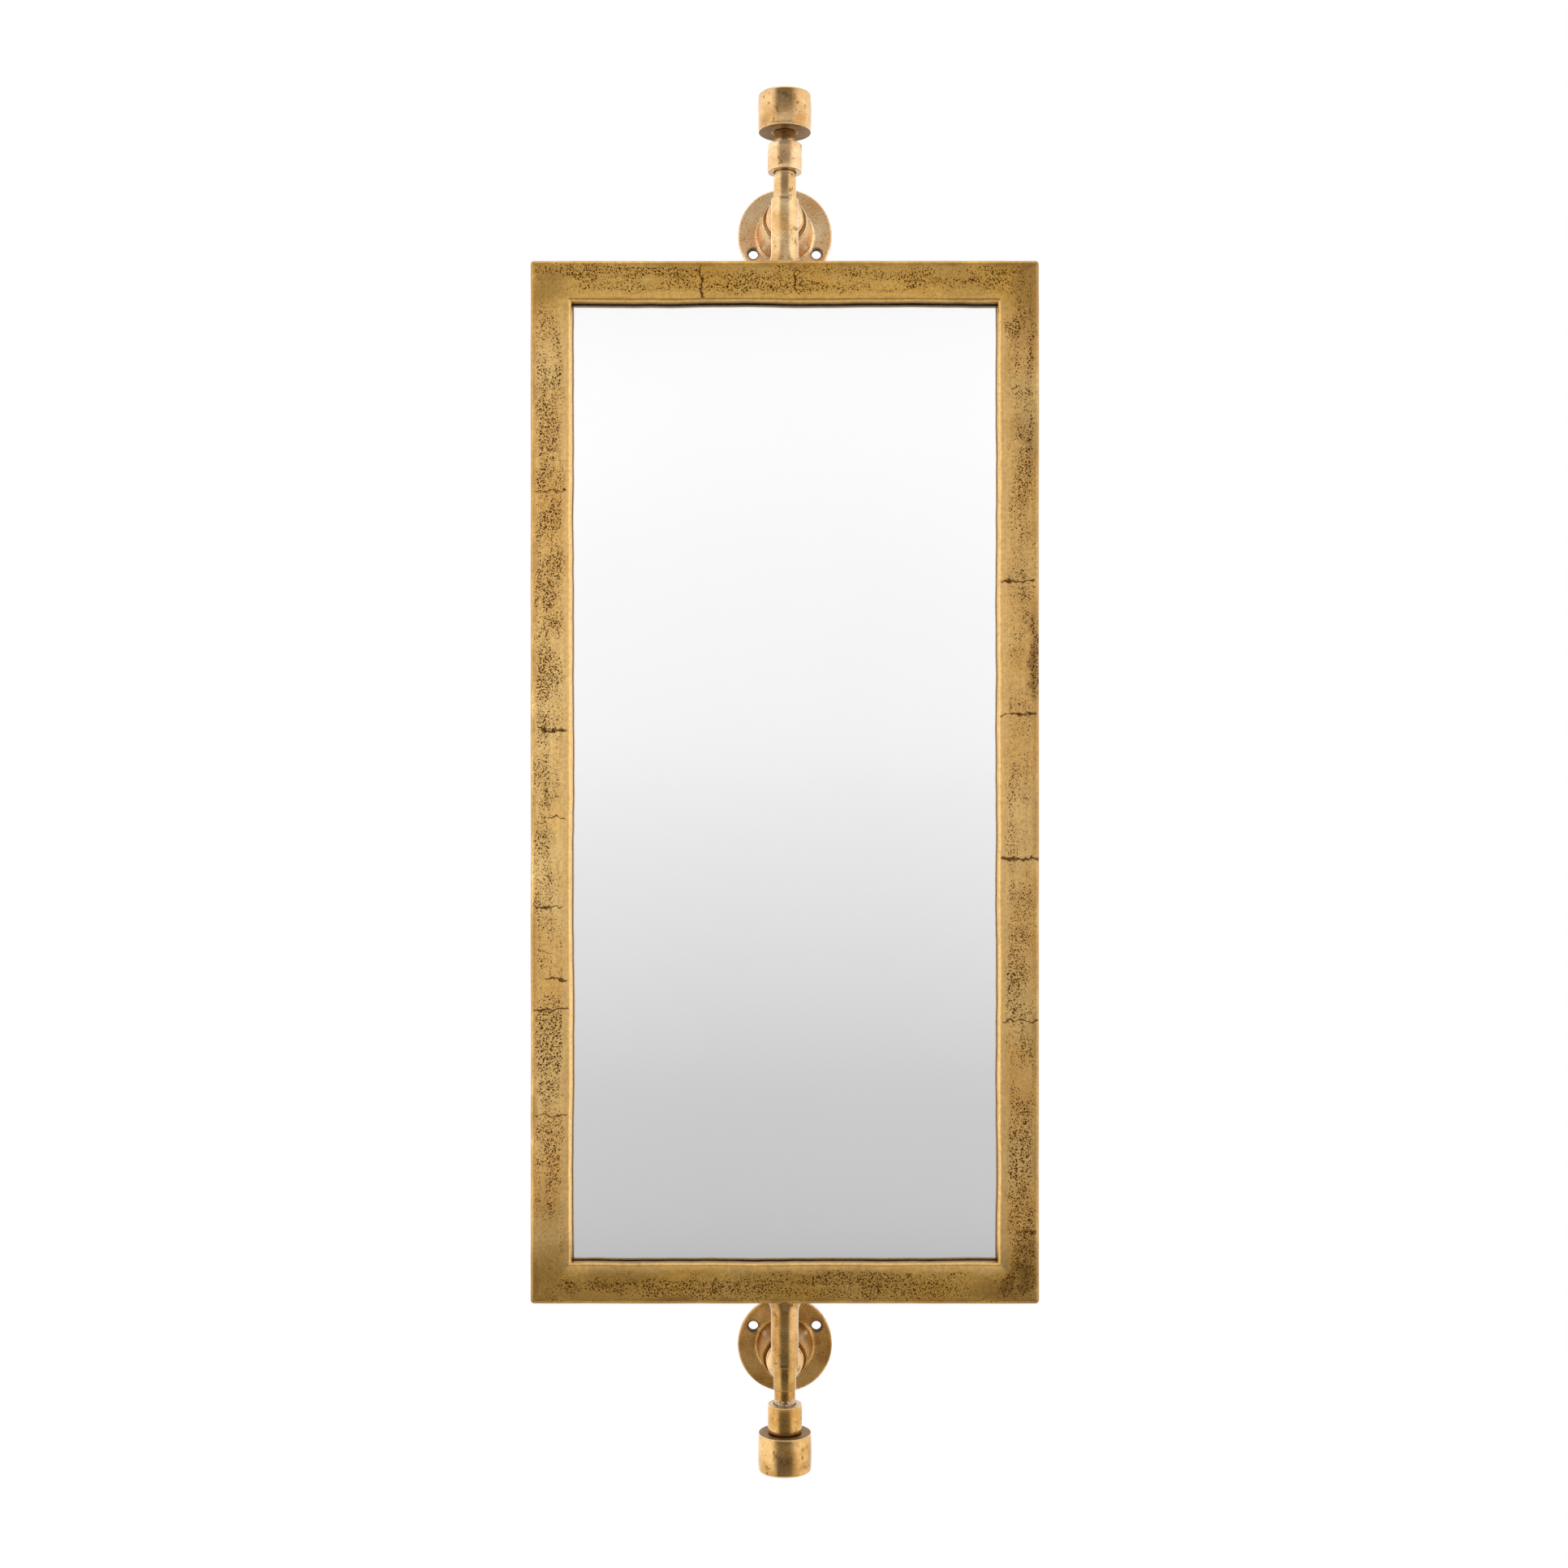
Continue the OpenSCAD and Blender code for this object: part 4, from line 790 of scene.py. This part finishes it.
for side, half in (("top", 1), ("bottom", -1)):
    bm = turned([(RECESS_R, 0, 0), (PLATE_R, 0, 0), (PLATE_R, PLATE_T, 1.5),
                 (BOSS_BASE_R, PLATE_T, 3.2), (BOSS_RIM_R, BOSS_H - 0.6, 0),
                 (BOSS_RIM_R, BOSS_H, RIM_ROUND), (MOUTH_R, BOSS_H, RIM_ROUND),
                 (MOUTH_R, SEAT_H, 0), (SOCKET_R, SEAT_H, 0), (SOCKET_R, SOCKET_FLOOR, 0),
                 (SCREW_WAY_R, SOCKET_FLOOR, 0), (SCREW_WAY_R, RECESS_END, 0),
                 (RECESS_R, RECESS_END, 0)], steps=120)
    for turn in (90, 210, 330):
        hole = turned([(0, -1, 0), (HOLE_R, -1, 0), (HOLE_R, PLATE_T - SINK_R + HOLE_R, 0),
                       (SINK_R + 1, PLATE_T + 1, 0), (0, PLATE_T + 1, 0)], steps=40)
        bmesh.ops.transform(hole, verts=hole.verts, matrix=Matrix.Rotation(
            math.radians(turn), 4, "Z") @ Matrix.Translation((HOLE_CIRCLE_R, 0, 0)))
        bm = shaped(bm, hole, "DIFFERENCE")
    piece_from(side + "_cast_plate", bm, on_bracket(half, 90), plate_brass, "wall_brackets",
               side + "_wall_plate")

# ---- Floor and studio ----
# A pale floor well below the mirror, in a round white studio that is its own lamp: a tall soft
# box on each side, and between them the end behind the camera, which is what the glass shows,
# bright above the camera and greyer towards the ground. So only the camera sees plain white.
FLOOR_Z = -1.9
bm = bmesh.new()
bmesh.ops.create_grid(bm, x_segments=8, y_segments=8, size=1.6)
bmesh.ops.translate(bm, vec=(0, -0.1, FLOOR_Z), verts=bm.verts)
mesh = bpy.data.meshes.new("studio_floor")
bm.to_mesh(mesh)
bm.free()
floor = bpy.data.objects.new("studio_floor", mesh)
bpy.context.scene.collection.objects.link(floor)

# Matt white studio floor, which fades into the white background at its rim
floor_paint, tree, shader = new_material("matt_white_floor")
at = add(tree, "TexCoord").outputs["Object"]
scuff = add(tree, "TexNoise", {"Vector": at, "Scale": 3, "Detail": 3}).outputs[0]
two_toned(tree, shader, scuff, "#eeeeec", "#f2f2f0")
shader.inputs["Roughness"].default_value = 0.8
flat = add(tree, "VectorMath", {0: at, 1: (1, 1, 0)}, operation="MULTIPLY").outputs[0]
flat = add(tree, "VectorMath", {0: flat, 1: (0, 0.1, 0)}, operation="ADD").outputs[0]
rim = add(tree, "VectorMath", {0: flat}, operation="LENGTH").outputs["Value"]
rim = add(tree, "MapRange", {0: rim, 1: 0.6, 2: 1.55, 3: 0, 4: 1}, **SOFT).outputs[0]
seen = add(tree, "LightPath").outputs["Is Camera Ray"]
fade = add(tree, "Math", {0: rim, 1: seen}, operation="MULTIPLY").outputs[0]
white = add(tree, "Emission", {"Color": (1, 1, 1, 1), "Strength": 1}).outputs[0]
mixed = add(tree, "MixShader", {0: fade, 1: shader.outputs[0], 2: white}).outputs[0]
tree.links.new(mixed, tree.nodes["Material Output"].inputs["Surface"])
mesh.materials.append(floor_paint)

# Colour ramps hold no more than 1, so levels of light are stored as shares of the brightest
BRIGHTEST = 1.6


def graded(tree, place, stops):
    """Levels of light by place from 0 to 1, in smooth steps"""
    ramp = add(tree, "ValToRGB", {0: place})
    ramp.color_ramp.interpolation = "CARDINAL"
    held = ramp.color_ramp.elements
    for spot, level in stops:
        stop = held.new(spot) if 0 < spot < 1 else held[-int(spot)]
        stop.color = (level / BRIGHTEST, level / BRIGHTEST, level / BRIGHTEST, 1)
    return ramp.outputs[0]


studio = bpy.data.worlds.new("white_studio")
bpy.context.scene.world = studio
studio.use_nodes = True
tree = studio.node_tree
tree.nodes.clear()
way = add(tree, "SeparateXYZ", {0: add(tree, "TexCoord").outputs["Generated"]})
rise = add(tree, "MapRange", {0: way.outputs[2], 1: -1, 2: 1, 3: 0, 4: 1}).outputs[0]
# The end that the glass shows, by height, and by side between the heights that it shows
end = graded(tree, rise, ((0, 0.05), (0.25, 0.3), (0.335, 0.05), (0.36, 0.16), (0.3825, 0.53),
                          (0.435, 0.68), (0.505, 0.9), (0.5525, 0.985), (0.63, 0.985),
                          (0.65, 0.55), (0.675, 0.35), (0.75, 0.3), (1, 1.6)))
aside = graded(tree, add(tree, "MapRange", {0: way.outputs[0], 1: -1, 2: 1}).outputs[0],
               ((0, 1.6), (0.33, 1.1), (0.432, 1.01), (0.565, 1), (0.65, 1.1), (1, 1.6)))
high = add(tree, "Math", {0: way.outputs[2]}, operation="ABSOLUTE").outputs[0]
high = add(tree, "MapRange", {0: high, 1: 0.2, 2: 0.28, 3: 1, 4: 0}).outputs[0]
level = (1 / BRIGHTEST, 1 / BRIGHTEST, 1 / BRIGHTEST, 1)
aside = add(tree, "Mix", {0: high, 6: level, 7: aside}, data_type="RGBA").outputs[2]
# The soft boxes by height, and round the room their share of what is seen. Each product of
# stored levels is multiplied back up
boxes = graded(tree, rise, ((0, 0.3), (0.2, 0.5), (0.275, 1.35), (0.75, 1.35), (0.875, 0.9),
                            (1, 1.6)))
aside, boxes = [add(tree, "Mix", {0: 1, 6: stored, 7: (gain, gain, gain, 1)}, data_type="RGBA",
                    blend_type="MULTIPLY").outputs[2]
                for stored, gain in ((aside, BRIGHTEST ** 2), (boxes, BRIGHTEST))]
end = add(tree, "Mix", {0: 1, 6: end, 7: aside}, data_type="RGBA", blend_type="MULTIPLY").outputs[2]
back = add(tree, "Math", {0: way.outputs[1], 1: -1}, operation="MULTIPLY").outputs[0]
turn = add(tree, "Math", {0: way.outputs[0], 1: back}, operation="ARCTAN2").outputs[0]
turn = add(tree, "MapRange", {0: turn, 1: -math.pi, 2: math.pi, 3: 0, 4: 1}).outputs[0]
share = graded(tree, turn, [(spot, BRIGHTEST * level) for spot, level in (
    (0, 0.9), (0.111, 0.9), (0.167, 1), (0.34, 1), (0.42, 0), (0.575, 0), (0.65, 0.93),
    (0.833, 0.93), (0.889, 0.75), (1, 1))])
around = add(tree, "Mix", {0: share, 6: end, 7: boxes}, data_type="RGBA").outputs[2]
seen = add(tree, "LightPath").outputs["Is Camera Ray"]
around = add(tree, "Mix", {0: seen, 6: around, 7: (1, 1, 1, 1)}, data_type="RGBA").outputs[2]
background = add(tree, "Background", {"Color": around, "Strength": 1}).outputs[0]
add(tree, "OutputWorld", {"Surface": background})

bpy.context.scene.view_settings.view_transform = "Standard"
